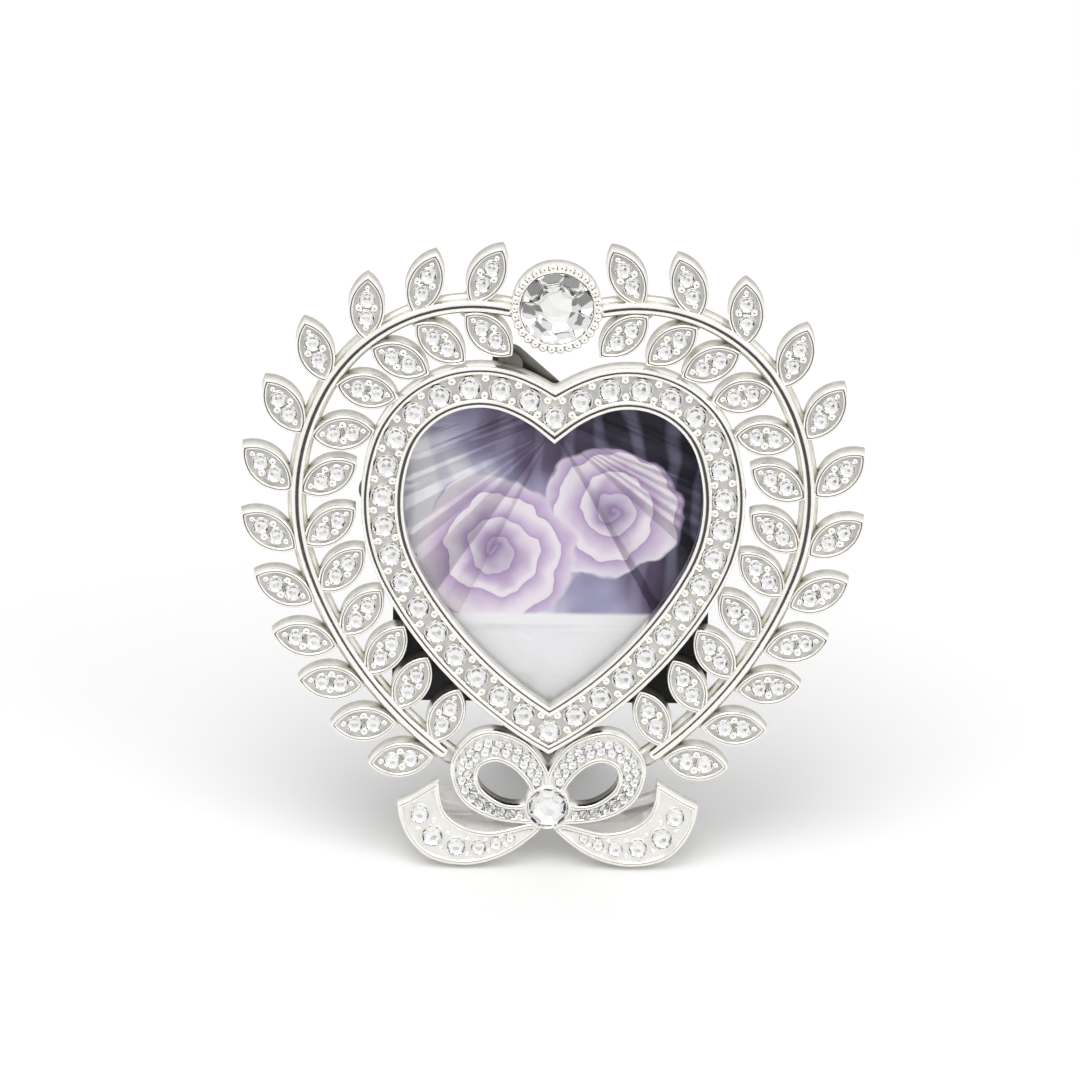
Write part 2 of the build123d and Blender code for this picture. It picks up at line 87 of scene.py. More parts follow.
def leaning(origin: Vector, degrees: float) -> Matrix:
    """Placement of a plane that leans back from upright.

    Args:
        origin: The plane's origin, in mm.
        degrees: How far the plane leans back.

    Returns:
        The matrix from the plane's own axes to the world, in mm.
    """
    angle = math.radians(degrees)
    along = (0.0, math.sin(angle), math.cos(angle))
    out = (0.0, -math.cos(angle), math.sin(angle))
    turn = Matrix(((1.0, along[0], out[0]), (0.0, along[1], out[1]), (0.0, along[2], out[2])))
    return Matrix.Translation(origin) @ turn.to_4x4()


FACE = leaning(Vector(FACE_ORIGIN), LEAN)
PIN = FACE @ Vector((0.0, HINGE_HEIGHT, PIN_LEVEL))
LEG = leaning(PIN, LEG_LEAN)


class Body(Enum):
    """Bodies of the frame that pieces ride on."""

    FRAME = "frame"
    LEG = "leg"
    TOP = "turn_button_top"
    LEFT = "turn_button_left"
    RIGHT = "turn_button_right"


class Side(Enum):
    """Half of the wreath, as its CAD nodes name it."""

    RIGHT = "right"
    LEFT = "left"


# ---- colour and node helpers


def linear(code: str) -> Colour:
    """Linear colour of an sRGB colour.

    Args:
        code: The hex code, such as "E8E4DA".

    Returns:
        Red, green, blue and a full alpha.
    """
    channels = []
    for start in (0, 2, 4):
        value = int(code[start:start + 2], 16) / 255
        channels.append(value / 12.92 if value <= 0.04045 else ((value + 0.055) / 1.055) ** 2.4)
    return (channels[0], channels[1], channels[2], 1.0)


def add_node(tree: Tree, kind: str, inputs: dict | None = None, **settings) -> bpy.types.Node:
    """Adds a node with its settings and links.

    Args:
        tree: The node tree that gets the node.
        kind: The node's type name.
        inputs: Values or output sockets, by input name or number.
        settings: The node's own properties.

    Returns:
        The new node.
    """
    node = tree.nodes.new(kind)
    for key, value in settings.items():
        setattr(node, key, value)
    for key, value in (inputs or {}).items():
        if isinstance(value, Socket):
            tree.links.new(value, node.inputs[key])
        else:
            node.inputs[key].default_value = value
    return node


def on_face(tree: Tree) -> Socket:
    """Position in mm on the face: X right, Y up the face, Z above the castings' back.

    Args:
        tree: The material's nodes.

    Returns:
        The position's socket.
    """
    place = add_node(tree, "ShaderNodeTexCoord")
    home = FACE.inverted()
    node = add_node(tree, "ShaderNodeMapping", {
        "Vector": place.outputs["Object"],
        "Location": home.translation,
        "Rotation": home.to_euler(),
        "Scale": (1 / MM, 1 / MM, 1 / MM),
    })
    return node.outputs[0]


def new_material(name: str) -> tuple[Material, Tree, bpy.types.Node]:
    """Material with an empty principled shader.

    Args:
        name: The finish's common name.

    Returns:
        The material, its node tree and its shader node.
    """
    material = bpy.data.materials.new(name)
    material.use_nodes = True
    tree = material.node_tree
    return material, tree, tree.nodes["Principled BSDF"]


def wire_metal(tree: Tree, shader: bpy.types.Node, colour: Socket, roughness: Socket, normal: Socket) -> None:
    """Joins a metal's patterns to its shader.

    Args:
        tree: The material's nodes.
        shader: Its shader node.
        colour: Base colour.
        roughness: Roughness.
        normal: Normal.
    """
    tree.links.new(colour, shader.inputs["Base Color"])
    tree.links.new(roughness, shader.inputs["Roughness"])
    tree.links.new(normal, shader.inputs["Normal"])
    shader.inputs["Metallic"].default_value = 1.0


# ---- finishes


@dataclass(frozen=True)
class SilverPlate:
    """Bright silver plate over cast zinc, polished on the rims and left as cast in the hollows."""

    # buffed plate mirrors the room on every rim and goes dull down the walls, where a straw grey painted shade is
    # laid on
    name: str = "silver_plate"
    crest: str = "FCFBF7"
    shade: str = "F3F0E9"
    # colour of the painted shade on the walls and low parts
    painted_shade: str = "BDBAAF"
    polish: float = 0.12
    satin: float = 0.42
    ripple_mm: float = 1.3
    ripple_depth: float = 0.014
    grain_mm: float = 0.25
    grain_depth: float = 0.0015
    painted_shade_top: float = 3.0
    painted_shade_foot: float = 1.0
    buffed_from: float = 2.2
    buffed_to: float = 3.1

    def build(self) -> Material:
        """Material whose low places carry a painted shade and whose polish has a hand-buffed ripple.

        Returns:
            The material.
        """
        material, tree, shader = new_material(self.name)
        place = on_face(tree)
        ripple = add_node(tree, "ShaderNodeTexNoise", {"Vector": place, "Scale": 1 / self.ripple_mm, "Detail": 2.0})
        grain = add_node(tree, "ShaderNodeTexNoise", {"Vector": place, "Scale": 1 / self.grain_mm, "Detail": 3.0})
        split = add_node(tree, "ShaderNodeSeparateXYZ", {0: place})
        # painted shade gathers low on the castings, below 3 mm and full by 1 mm, which gives the walls their straw
        # tint
        low = add_node(tree, "ShaderNodeMapRange", {
            "Value": split.outputs[2], "From Min": self.painted_shade_top, "From Max": self.painted_shade_foot,
        })
        cloud = add_node(tree, "ShaderNodeMath", {0: ripple.outputs[0], 1: 0.45}, operation="ADD")
        painted_shade_share = add_node(tree, "ShaderNodeMath", {0: low.outputs[0], 1: cloud.outputs[0]}, operation="MULTIPLY")
        tone = add_node(tree, "ShaderNodeMix", {
            0: ripple.outputs[0], 6: linear(self.crest), 7: linear(self.shade),
        }, data_type="RGBA").outputs[2]
        tone = add_node(tree, "ShaderNodeMix", {
            0: painted_shade_share.outputs[0], 6: tone, 7: linear(self.painted_shade),
        }, data_type="RGBA").outputs[2]
        # the buffing wheel reaches the crests only, so roughness falls with height
        worn = add_node(tree, "ShaderNodeMapRange", {
            "Value": split.outputs[2], "From Min": self.buffed_from, "From Max": self.buffed_to,
            "To Min": self.satin, "To Max": self.polish,
        })
        scatter = add_node(tree, "ShaderNodeMapRange", {"Value": grain.outputs[0], "To Min": 0.6, "To Max": 1.4})
        rough = add_node(tree, "ShaderNodeMath", {0: worn.outputs[0], 1: scatter.outputs[0]}, operation="MULTIPLY")
        coarse = add_node(tree, "ShaderNodeBump", {"Height": ripple.outputs[0], "Distance": self.ripple_depth * MM})
        fine = add_node(tree, "ShaderNodeBump", {
            "Height": grain.outputs[0], "Distance": self.grain_depth * MM, "Normal": coarse.outputs[0],
        })
        wire_metal(tree, shader, tone, rough.outputs[0], fine.outputs[0])
        return material


@dataclass(frozen=True)
class CastSkin:
    """Plated zinc left as it came from the mould."""

    # the sand-like skin scatters light, so beds look grey beside the buffed rims; on the backs its darker colour is
    # partly painted shade
    name: str = "cast_floor"
    high: str = "F2F1EF"
    low: str = "C4C2C3"
    roughness: float = 0.55
    grain_mm: float = 0.35
    grain_detail: float = 4.0
    grain_depth: float = 0.05
    patch_mm: float = 4.0
    patch_detail: float = 1.0

    def build(self) -> Material:
        """Material with the grain of a casting and darker patches.

        Returns:
            The material.
        """
        material, tree, shader = new_material(self.name)
        place = on_face(tree)
        grain = add_node(tree, "ShaderNodeTexNoise", {
            "Vector": place, "Scale": 1 / self.grain_mm, "Detail": self.grain_detail,
        })
        patch = add_node(tree, "ShaderNodeTexNoise", {
            "Vector": place, "Scale": 1 / self.patch_mm, "Detail": self.patch_detail,
        })
        tone = add_node(tree, "ShaderNodeMix", {
            0: patch.outputs[0], 6: linear(self.low), 7: linear(self.high),
        }, data_type="RGBA").outputs[2]
        rough = add_node(tree, "ShaderNodeMapRange", {
            "Value": grain.outputs[0], "To Min": self.roughness * 0.8, "To Max": self.roughness * 1.3,
        })
        skin = add_node(tree, "ShaderNodeBump", {"Height": grain.outputs[0], "Distance": self.grain_depth * MM})
        wire_metal(tree, shader, tone, rough.outputs[0], skin.outputs[0])
        return material


@dataclass(frozen=True)
class CutGlass:
    """Lead crystal stones: clear, with sharp polished facets."""

    # flat polished facets each show another bit of the room, so the stones glitter
    name: str = "cut_crystal"
    tint: str = "FFFFFF"
    ior: float = 1.58

    def build(self) -> Material:
        """Clear glass; its sparkle comes from the facets and the foil behind them.

        Returns:
            The material.
        """
        material, _, shader = new_material(self.name)
        shader.inputs["Base Color"].default_value = linear(self.tint)
        shader.inputs["Transmission Weight"].default_value = 1.0
        shader.inputs["Roughness"].default_value = 0.0
        shader.inputs["IOR"].default_value = self.ior
        return material


@dataclass(frozen=True)
class MirrorFoil:
    """Silver foil on the backs of the stones, which throws the light back out of them."""

    # the foil keeps the stones white instead of letting the casting show through
    name: str = "mirror_foil"
    bright: str = "FCFCFB"
    dull: str = "EDEDEC"
    roughness: float = 0.04
    cloud_mm: float = 1.25

    def build(self) -> Material:
        """Mirror with faint clouds in its silvering.

        Returns:
            The material.
        """
        material, tree, shader = new_material(self.name)
        place = on_face(tree)
        cloud = add_node(tree, "ShaderNodeTexNoise", {"Vector": place, "Scale": 1 / self.cloud_mm, "Detail": 2.0})
        tone = add_node(tree, "ShaderNodeMix", {
            0: cloud.outputs[0], 6: linear(self.dull), 7: linear(self.bright),
        }, data_type="RGBA").outputs[2]
        tree.links.new(tone, shader.inputs["Base Color"])
        shader.inputs["Metallic"].default_value = 1.0
        shader.inputs["Roughness"].default_value = self.roughness
        return material


@dataclass(frozen=True)
class ClearSheet:
    """Clear acrylic pane, polished on both sides."""

    # a polished sheet shows only as a soft gloss over the print
    name: str = "clear_acrylic"
    tint: str = "FAFBFC"
    ior: float = 1.49
    alpha: float = 0.25

    def build(self) -> Material:
        """Thin clear sheet with a broad, very faint haze.

        Returns:
            The material.
        """
        material, tree, shader = new_material(self.name)
        # wipe marks about 8 mm across
        haze = add_node(tree, "ShaderNodeTexNoise", {"Vector": on_face(tree), "Scale": 0.12, "Detail": 1.0})
        rough = add_node(tree, "ShaderNodeMapRange", {"Value": haze.outputs[0], "To Min": 0.01, "To Max": 0.04})
        tree.links.new(rough.outputs[0], shader.inputs["Roughness"])
        shader.inputs["Base Color"].default_value = linear(self.tint)
        shader.inputs["Transmission Weight"].default_value = 1.0
        shader.inputs["IOR"].default_value = self.ior
        shader.inputs["Alpha"].default_value = self.alpha
        return material


@dataclass(frozen=True)
class FlowerPrint:
    """Glossy placeholder print: two soft roses on plum leaves over a pale band."""

    # ink on coated paper keeps its colour at every angle, under a slight gloss
    name: str = "rose_print"
    paper: str = "FBFAFF"
    ground: str = "6E5F7C"
    night: str = "2B2A3A"
    leaf: str = "A9A6C6"
    petal: str = "F8F0F8"
    blush: str = "C6ABD4"
    heart: str = "8467A0"
    wobble_mm: float = 5.0
    windings: float = 4.0
    scallops: float = 5.0
    band_top: float = 42.2

    def rose(self, tree: Tree, place: Socket, under: Socket, centre: Point, radius: float, turn: float) -> Socket:
        """One rose painted over what is under it.

        Args:
            tree: The material's nodes.
            place: Position on the face.
            under: Colour that shows round the flower.
            centre: Middle of the flower on the face, in mm.
            radius: Its radius in mm.
            turn: Which way its petals start, in turns.

        Returns:
            The colour with the rose on it.
        """
        # petals waver every 6 mm or so
        wobble = add_node(tree, "ShaderNodeTexNoise", {"Vector": place, "Scale": 0.16, "Detail": 2.0})
        shift = add_node(tree, "ShaderNodeVectorMath", {
            0: wobble.outputs[1], 1: (self.wobble_mm, self.wobble_mm, 0.0),
        }, operation="MULTIPLY")
        moved = add_node(tree, "ShaderNodeVectorMath", {0: place, 1: shift.outputs[0]}, operation="ADD")
        local = add_node(tree, "ShaderNodeVectorMath", {
            0: moved.outputs[0], 1: (centre[0] + self.wobble_mm / 2, centre[1] + self.wobble_mm / 2, 0.0),
        }, operation="SUBTRACT")
        flat = add_node(tree, "ShaderNodeVectorMath", {
            0: local.outputs[0], 1: (1.0, 1.0, 0.0),
        }, operation="MULTIPLY")
        reach = add_node(tree, "ShaderNodeVectorMath", {0: flat.outputs[0]}, operation="LENGTH")
        share = add_node(tree, "ShaderNodeMath", {0: reach.outputs["Value"], 1: radius}, operation="DIVIDE")
        split = add_node(tree, "ShaderNodeSeparateXYZ", {0: flat.outputs[0]})
        angle = add_node(tree, "ShaderNodeMath", {0: split.outputs[1], 1: split.outputs[0]}, operation="ARCTAN2")
        turns = add_node(tree, "ShaderNodeMath", {
            0: angle.outputs[0], 1: 1 / math.tau, 2: turn,
        }, operation="MULTIPLY_ADD")
        # petals wind outwards as a spiral that opens with the distance
        root = add_node(tree, "ShaderNodeMath", {0: share.outputs[0], 1: 0.7}, operation="POWER")
        coil = add_node(tree, "ShaderNodeMath", {
            0: root.outputs[0], 1: self.windings, 2: turns.outputs[0],
        }, operation="MULTIPLY_ADD")
        step = add_node(tree, "ShaderNodeMath", {0: coil.outputs[0]}, operation="FRACT")
        tone = add_node(tree, "ShaderNodeValToRGB", {0: step.outputs[0]})
        ramp = tone.color_ramp
        ramp.elements[0].color = linear(self.blush)
        ramp.elements[1].color = linear(self.petal)
        ramp.elements[1].position = 0.75
        ramp.elements.new(0.97).color = linear(self.petal)
        ramp.elements.new(1.0).color = linear(self.heart)
        deep = add_node(tree, "ShaderNodeMapRange", {
            "Value": share.outputs[0], "From Min": 0.0, "From Max": 0.45, "To Min": 0.75, "To Max": 0.0,
        })
        petal = add_node(tree, "ShaderNodeMix", {
            0: deep.outputs[0], 6: tone.outputs[0], 7: linear(self.heart),
        }, data_type="RGBA").outputs[2]
        edge = add_node(tree, "ShaderNodeMath", {0: turns.outputs[0], 1: self.scallops}, operation="MULTIPLY")
        scallop = add_node(tree, "ShaderNodeMath", {0: edge.outputs[0], 1: 1.0}, operation="PINGPONG")
        limit = add_node(tree, "ShaderNodeMath", {
            0: scallop.outputs[0], 1: 0.14, 2: 0.9,
        }, operation="MULTIPLY_ADD")
        ratio = add_node(tree, "ShaderNodeMath", {0: share.outputs[0], 1: limit.outputs[0]}, operation="DIVIDE")
        mask = add_node(tree, "ShaderNodeMapRange", {"Value": ratio.outputs[0], "From Min": 1.0, "From Max": 0.95})
        return add_node(tree, "ShaderNodeMix", {
            0: mask.outputs[0], 6: under, 7: petal,
        }, data_type="RGBA").outputs[2]

    def build(self) -> Material:
        """Ink on coated paper, with a dark plum ground, pale leaves and two roses.

        Returns:
            The material.
        """
        material, tree, shader = new_material(self.name)
        place = on_face(tree)
        split = add_node(tree, "ShaderNodeSeparateXYZ", {0: place})
        # soft blots of colour about 14 mm across
        cloud = add_node(tree, "ShaderNodeTexNoise", {"Vector": place, "Scale": 0.07, "Detail": 2.0})
        # the ground goes from pale at the left and foot to night at the right and top
        tall = add_node(tree, "ShaderNodeMath", {0: split.outputs[1], 1: 0.018, 2: -1.1}, operation="MULTIPLY_ADD")
        drift = add_node(tree, "ShaderNodeMath", {0: cloud.outputs[0], 1: tall.outputs[0]}, operation="ADD")
        sweep = add_node(tree, "ShaderNodeMath", {
            0: split.outputs[0], 1: 0.024, 2: drift.outputs[0],
        }, operation="MULTIPLY_ADD")
        ground = add_node(tree, "ShaderNodeValToRGB", {0: sweep.outputs[0]})
        ramp = ground.color_ramp
        ramp.elements[0].position = 0.05
        ramp.elements[0].color = linear(self.paper)
        ramp.elements[1].position = 0.95
        ramp.elements[1].color = linear(self.night)
        ramp.elements.new(0.34).color = linear(self.leaf)
        ramp.elements.new(0.6).color = linear(self.ground)
        # fronds out of focus, each a few millimetres wide
        veins = add_node(tree, "ShaderNodeTexWave", {
            "Vector": place, "Scale": 0.06, "Distortion": 9.0, "Detail": 2.0, "Detail Scale": 0.6,
        })
        frond = add_node(tree, "ShaderNodeMapRange", {
            "Value": veins.outputs[1], "From Min": 0.55, "From Max": 0.95, "To Max": 0.32,
        })
        colour = add_node(tree, "ShaderNodeMix", {
            0: frond.outputs[0], 6: ground.outputs[0], 7: linear(self.leaf),
        }, data_type="RGBA").outputs[2]
        colour = self.rose(tree, place, colour, (9.5, 59.0), 11.5, 0.2)
        colour = self.rose(tree, place, colour, (-9.0, 52.0), 13.5, 0.65)
        # a bare band along the foot, where such prints carry their size
        band = add_node(tree, "ShaderNodeMapRange", {
            "Value": split.outputs[1], "From Min": self.band_top, "From Max": self.band_top - 0.6,
        })
        pale = add_node(tree, "ShaderNodeMix", {
            0: cloud.outputs[0], 6: linear(self.paper), 7: linear("FFFFFF"),
        }, data_type="RGBA").outputs[2]
        colour = add_node(tree, "ShaderNodeMix", {
            0: band.outputs[0], 6: colour, 7: pale,
        }, data_type="RGBA").outputs[2]
        tree.links.new(colour, shader.inputs["Base Color"])
        shader.inputs["Roughness"].default_value = 0.3
        return material


@dataclass(frozen=True)
class Velvet:
    """Black flock paper over board, on the back and the leg."""

    name: str = "flock_paper"
    # the pile swallows light face on and greys at a slant
    nap: str = "1E1D1F"
    light: str = "353335"
    fibre_mm: float = 0.15
    pile_depth: float = 0.08

    def build(self) -> Material:
        """Short pile, brushed into soft patches.

        Returns:
            The material.
        """
        material, tree, shader = new_material(self.name)
        place = add_node(tree, "ShaderNodeTexCoord")
        # pile fibres are finer than this; they are drawn 0.15 mm apart so that they show
        fibre = add_node(tree, "ShaderNodeTexNoise", {
            "Vector": place.outputs["Object"], "Scale": 1 / (self.fibre_mm * MM), "Detail": 2.0,
        })
        # brushed patches about a centimetre across
        brushed = add_node(tree, "ShaderNodeTexNoise", {
            "Vector": place.outputs["Object"], "Scale": 90.0, "Detail": 3.0,
        })
        mixed = add_node(tree, "ShaderNodeMath", {0: fibre.outputs[0], 1: brushed.outputs[0]}, operation="MULTIPLY")
        share = add_node(tree, "ShaderNodeMapRange", {"Value": mixed.outputs[0], "From Min": 0.15, "From Max": 0.4})
        tone = add_node(tree, "ShaderNodeMix", {
            0: share.outputs[0], 6: linear(self.nap), 7: linear(self.light),
        }, data_type="RGBA").outputs[2]
        tree.links.new(tone, shader.inputs["Base Color"])
        pile = add_node(tree, "ShaderNodeBump", {"Height": fibre.outputs[0], "Distance": self.pile_depth * MM})
        tree.links.new(pile.outputs[0], shader.inputs["Normal"])
        shader.inputs["Roughness"].default_value = 0.95
        shader.inputs["Sheen Weight"].default_value = 0.35
        shader.inputs["Sheen Roughness"].default_value = 0.4
        return material


@dataclass(frozen=True)
class PressedSteel:
    """Thin pressed steel with the drawing lines of the press."""

    # the press draws fine lines one way, which streak the shine across them
    name: str
    bright: str
    dull: str
    roughness: float = 0.28
    line_mm: float = 0.12
    line_depth: float = 0.004

    def build(self) -> Material:
        """Plated sheet with fine lines one way and small rubbed patches.

        Returns:
            The material.
        """
        material, tree, shader = new_material(self.name)
        place = add_node(tree, "ShaderNodeTexCoord")
        lay = add_node(tree, "ShaderNodeMapping", {
            "Vector": place.outputs["Object"], "Scale": (1 / (self.line_mm * MM), 60.0, 60.0),
        })
        lines = add_node(tree, "ShaderNodeTexNoise", {"Vector": lay.outputs[0], "Scale": 1.0, "Detail": 3.0})
        # rubbed patches about 3 mm across
        rubbed = add_node(tree, "ShaderNodeTexNoise", {
            "Vector": place.outputs["Object"], "Scale": 350.0, "Detail": 3.0,
        })
        tone = add_node(tree, "ShaderNodeMix", {
            0: rubbed.outputs[0], 6: linear(self.dull), 7: linear(self.bright),
        }, data_type="RGBA").outputs[2]
        rough = add_node(tree, "ShaderNodeMapRange", {
            "Value": lines.outputs[0], "To Min": self.roughness * 0.7, "To Max": self.roughness * 1.4,
        })
        drawn = add_node(tree, "ShaderNodeBump", {"Height": lines.outputs[0], "Distance": self.line_depth * MM})
        wire_metal(tree, shader, tone, rough.outputs[0], drawn.outputs[0])
        return material


# dull zinc on the castings' backs and bosses; its dark colour is partly the metal's own and partly painted shade, so
# the parts behind the frame read as shadowed
DULL_ZINC_AND_SHADE = CastSkin(
    "dull_zinc_painted_shade", "99958E", "716D66", 0.5,
    grain_mm=0.5, grain_detail=3.0, grain_depth=0.04, patch_mm=8.333, patch_detail=3.0)


@dataclass
class Finishes:
    """Every finish of the object, made once."""

    silver: Material = field(default_factory=SilverPlate().build)
    floor: Material = field(default_factory=CastSkin().build)
    ribbon: Material = field(default_factory=CastSkin("ribbon_floor", "FDFCFA", "F0EEEA", 0.5).build)
    back: Material = field(default_factory=DULL_ZINC_AND_SHADE.build)
    crystal: Material = field(default_factory=CutGlass().build)
    foil: Material = field(default_factory=MirrorFoil().build)
    sheet: Material = field(default_factory=ClearSheet().build)
    picture: Material = field(default_factory=FlowerPrint().build)
    velvet: Material = field(default_factory=Velvet().build)
    hinge: Material = field(default_factory=PressedSteel("nickel_plated_steel", "C9C7C2", "A9A6A0").build)
    button: Material = field(default_factory=PressedSteel("pressed_steel", "8E8B84", "6B6862", 0.34).build)


# ---- outlines on the face, in mm


def turn_right(start: Vector, heading: float, radius: float, sweep: float, steps: int) -> list[tuple[Vector, float]]:
    """Arc that turns right, as points with their headings.

    Args:
        start: Where the arc starts.
        heading: Its first heading, in degrees.
        radius: Its radius in mm.
        sweep: How far it turns, in degrees.
        steps: How many steps it is drawn in.

    Returns:
        The points after the start, each with the heading there.
    """
    first = math.radians(heading)
    centre = start + radius * Vector((math.sin(first), -math.cos(first)))
    trail = []
    for step in range(1, steps + 1):
        now = first - math.radians(sweep) * step / steps
        trail.append((centre + radius * Vector((-math.sin(now), math.cos(now))), math.degrees(now)))
    return trail


@dataclass(frozen=True)
class Trail:
    """Line on the face made of arcs that run on from each other and end at a given point."""

    start: Point
    heading: float
    arcs: tuple[tuple[float, float], ...]
    end: Point
    step_mm: float = 0.7

    def points(self) -> list[tuple[Vector, float]]:
        """Points of the whole line.

        Returns:
            The points, each with its heading in degrees.
        """
        trail = [(Vector(self.start), self.heading)]
        for radius, sweep in self.arcs:
            steps = max(2, round(radius * math.radians(sweep) / self.step_mm))
            trail += turn_right(*trail[-1], radius, sweep, steps)
        place, heading = trail[-1]
        chord = Vector(self.end) - place
        turn = 2 * (heading - math.degrees(math.atan2(chord.y, chord.x)))
        radius = chord.length / 2 / math.sin(math.radians(turn / 2))
        steps = max(2, round(radius * math.radians(turn) / self.step_mm))
        return trail + turn_right(place, heading, radius, turn, steps)

    def along(self, share: float) -> tuple[Vector, float]:
        """Place along the line.

        Args:
            share: Share of the line's length.

        Returns:
            The point there and the heading in degrees.
        """
        trail = self.points()
        lengths = [0.0]
        for (first, _), (second, _) in zip(trail, trail[1:]):
            lengths.append(lengths[-1] + (second - first).length)
        wanted = share * lengths[-1]
        for index, reached in enumerate(lengths[1:]):
            if reached >= wanted:
                before, after = trail[index], trail[index + 1]
                part = (wanted - lengths[index]) / (reached - lengths[index])
                return before[0].lerp(after[0], part), before[1] + (after[1] - before[1]) * part
        return trail[-1]


HEART = Trail((0.0, 75.8), 40.0, ((22.601, 20.0), (14.952, 91.6), (27.699, 46.9)), (0.0, 23.3))
STEM = Trail((5.0, 92.448), 17.5, ((26.901, 79.1), (37.301, 48.0)), (16.0, 18.2))


def heart_ring(grow: float) -> list[Vector]:
    """Whole heart outline, this far outside the middle line of its band.

    Args:
        grow: Distance outwards in mm.

    Returns:
        Points from the notch round the right side to the tip and back up the left.
    """
    trail = HEART.points()
    half = []
    for index, (place, heading) in enumerate(trail):
        angle = math.radians(heading)
        spot = place + grow * Vector((-math.sin(angle), math.cos(angle)))
        if index in (0, len(trail) - 1):
            spot = Vector((0.0, spot.y - math.tan(angle) * spot.x))
        half.append(spot)
    for index in range(1, len(half) - 1):
        if half[index].x < 0.0:
            half[index] = half[0].copy() if index < len(half) // 2 else half[-1].copy()
    return half + [Vector((-spot.x, spot.y)) for spot in half[-2:0:-1]]


def on_curve(a: Vector, b: Vector, c: Vector, d: Vector, t: float) -> Vector:
    """Point between b and c on the smooth curve through all four, at t from 0 to 1."""
    return 0.5 * (2 * b + (c - a) * t + (2 * a - 5 * b + 4 * c - d) * t * t + (3 * b - a - 3 * c + d) * t ** 3)


def smooth_loop(corners: list[Point], count: int, steps: int = 24) -> list[Vector]:
    """Smooth closed line through these corners, as evenly spaced points.

    Args:
        corners: Points that the line passes, in order.
        count: How many points to return.
        steps: How finely each stretch is drawn before the points are spaced.

    Returns:
        The points of the line.
    """
    total = len(corners)
    dense = []
    for index in range(total):
        a, b, c, d = (Vector(corners[(index + shift) % total]) for shift in (-1, 0, 1, 2))
        dense += [on_curve(a, b, c, d, step / steps) for step in range(steps)]
    return even_loop(dense, count)


def even_loop(line: list[Vector], count: int) -> list[Vector]:
    """Spaces the points of a closed line evenly.

    Args:
        line: The line's points.
        count: How many points to return.

    Returns:
        The points, from the line's first one.
    """
    closed = line + [line[0]]
    lengths = [0.0]
    for first, second in zip(closed, closed[1:]):
        lengths.append(lengths[-1] + (second - first).length)
    points, index = [], 0
    for number in range(count):
        wanted = lengths[-1] * number / count
        while lengths[index + 1] < wanted:
            index += 1
        span = max(lengths[index + 1] - lengths[index], 1e-9)
        points.append(closed[index].lerp(closed[index + 1], (wanted - lengths[index]) / span))
    return points


def inset_loop(line: list[Vector], distance: float) -> list[Vector]:
    """Moves a closed line to its left, with mitred corners.

    Args:
        line: The line's points.
        distance: How far it moves in mm.

    Returns:
        As many points on the moved line.
    """
    moved = []
    for index, place in enumerate(line):
        before = (place - line[index - 1]).normalized()
        after = (line[(index + 1) % len(line)] - place).normalized()
        normals = Vector((-before.y, before.x)), Vector((-after.y, after.x))
        middle = (normals[0] + normals[1]).normalized()
        moved.append(place + middle * distance / max(0.35, middle.dot(normals[0])))
    return moved


def lifted(line: list[Vector], height: float) -> list[Vector]:
    """The flat line at this height."""
    return [Vector((place.x, place.y, height)) for place in line]


def bead_profile(outer: float, inner: float, foot: float, top: float, steps: int = 8) -> list[Station]:
    """Rounded rim between two distances.

    Args:
        outer: Distance at which the rim starts.
        inner: Distance at which it ends.
        foot: Height of both its edges.
        top: Height of its crest.
        steps: How many steps the rounding takes.

    Returns:
        Stations of distance and height, from the start to the end.
    """
    middle, reach = (outer + inner) / 2, (outer - inner) / 2
    stations = []
    for step in range(steps + 1):
        angle = math.pi * step / steps
        stations.append((middle + reach * math.cos(angle), foot + (top - foot) * math.sin(angle)))
    return stations


# ---- work at the bench


def clear_selection() -> None:
    """Leaves edit mode and deselects everything."""
    if bpy.context.object is not None and bpy.context.object.mode != "OBJECT":
        bpy.ops.object.mode_set(mode="OBJECT")
    bpy.ops.object.select_all(action="DESELECT")


def pick(piece: Piece) -> None:
    """Selects one piece alone and makes it active.

    Args:
        piece: The piece.
    """
    clear_selection()
    piece.select_set(True)
    bpy.context.view_layer.objects.active = piece


def tidy_mesh(piece: Piece) -> None:
    """Merges doubles and turns the faces outwards.

    Args:
        piece: The piece.
    """
    pick(piece)
    bpy.ops.object.mode_set(mode="EDIT")
    bpy.ops.mesh.select_all(action="SELECT")
    bpy.ops.mesh.remove_doubles(threshold=WELD)
    bpy.ops.mesh.dissolve_degenerate(threshold=WELD / 10)
    bpy.ops.mesh.normals_make_consistent(inside=False)
    bpy.ops.object.mode_set(mode="OBJECT")


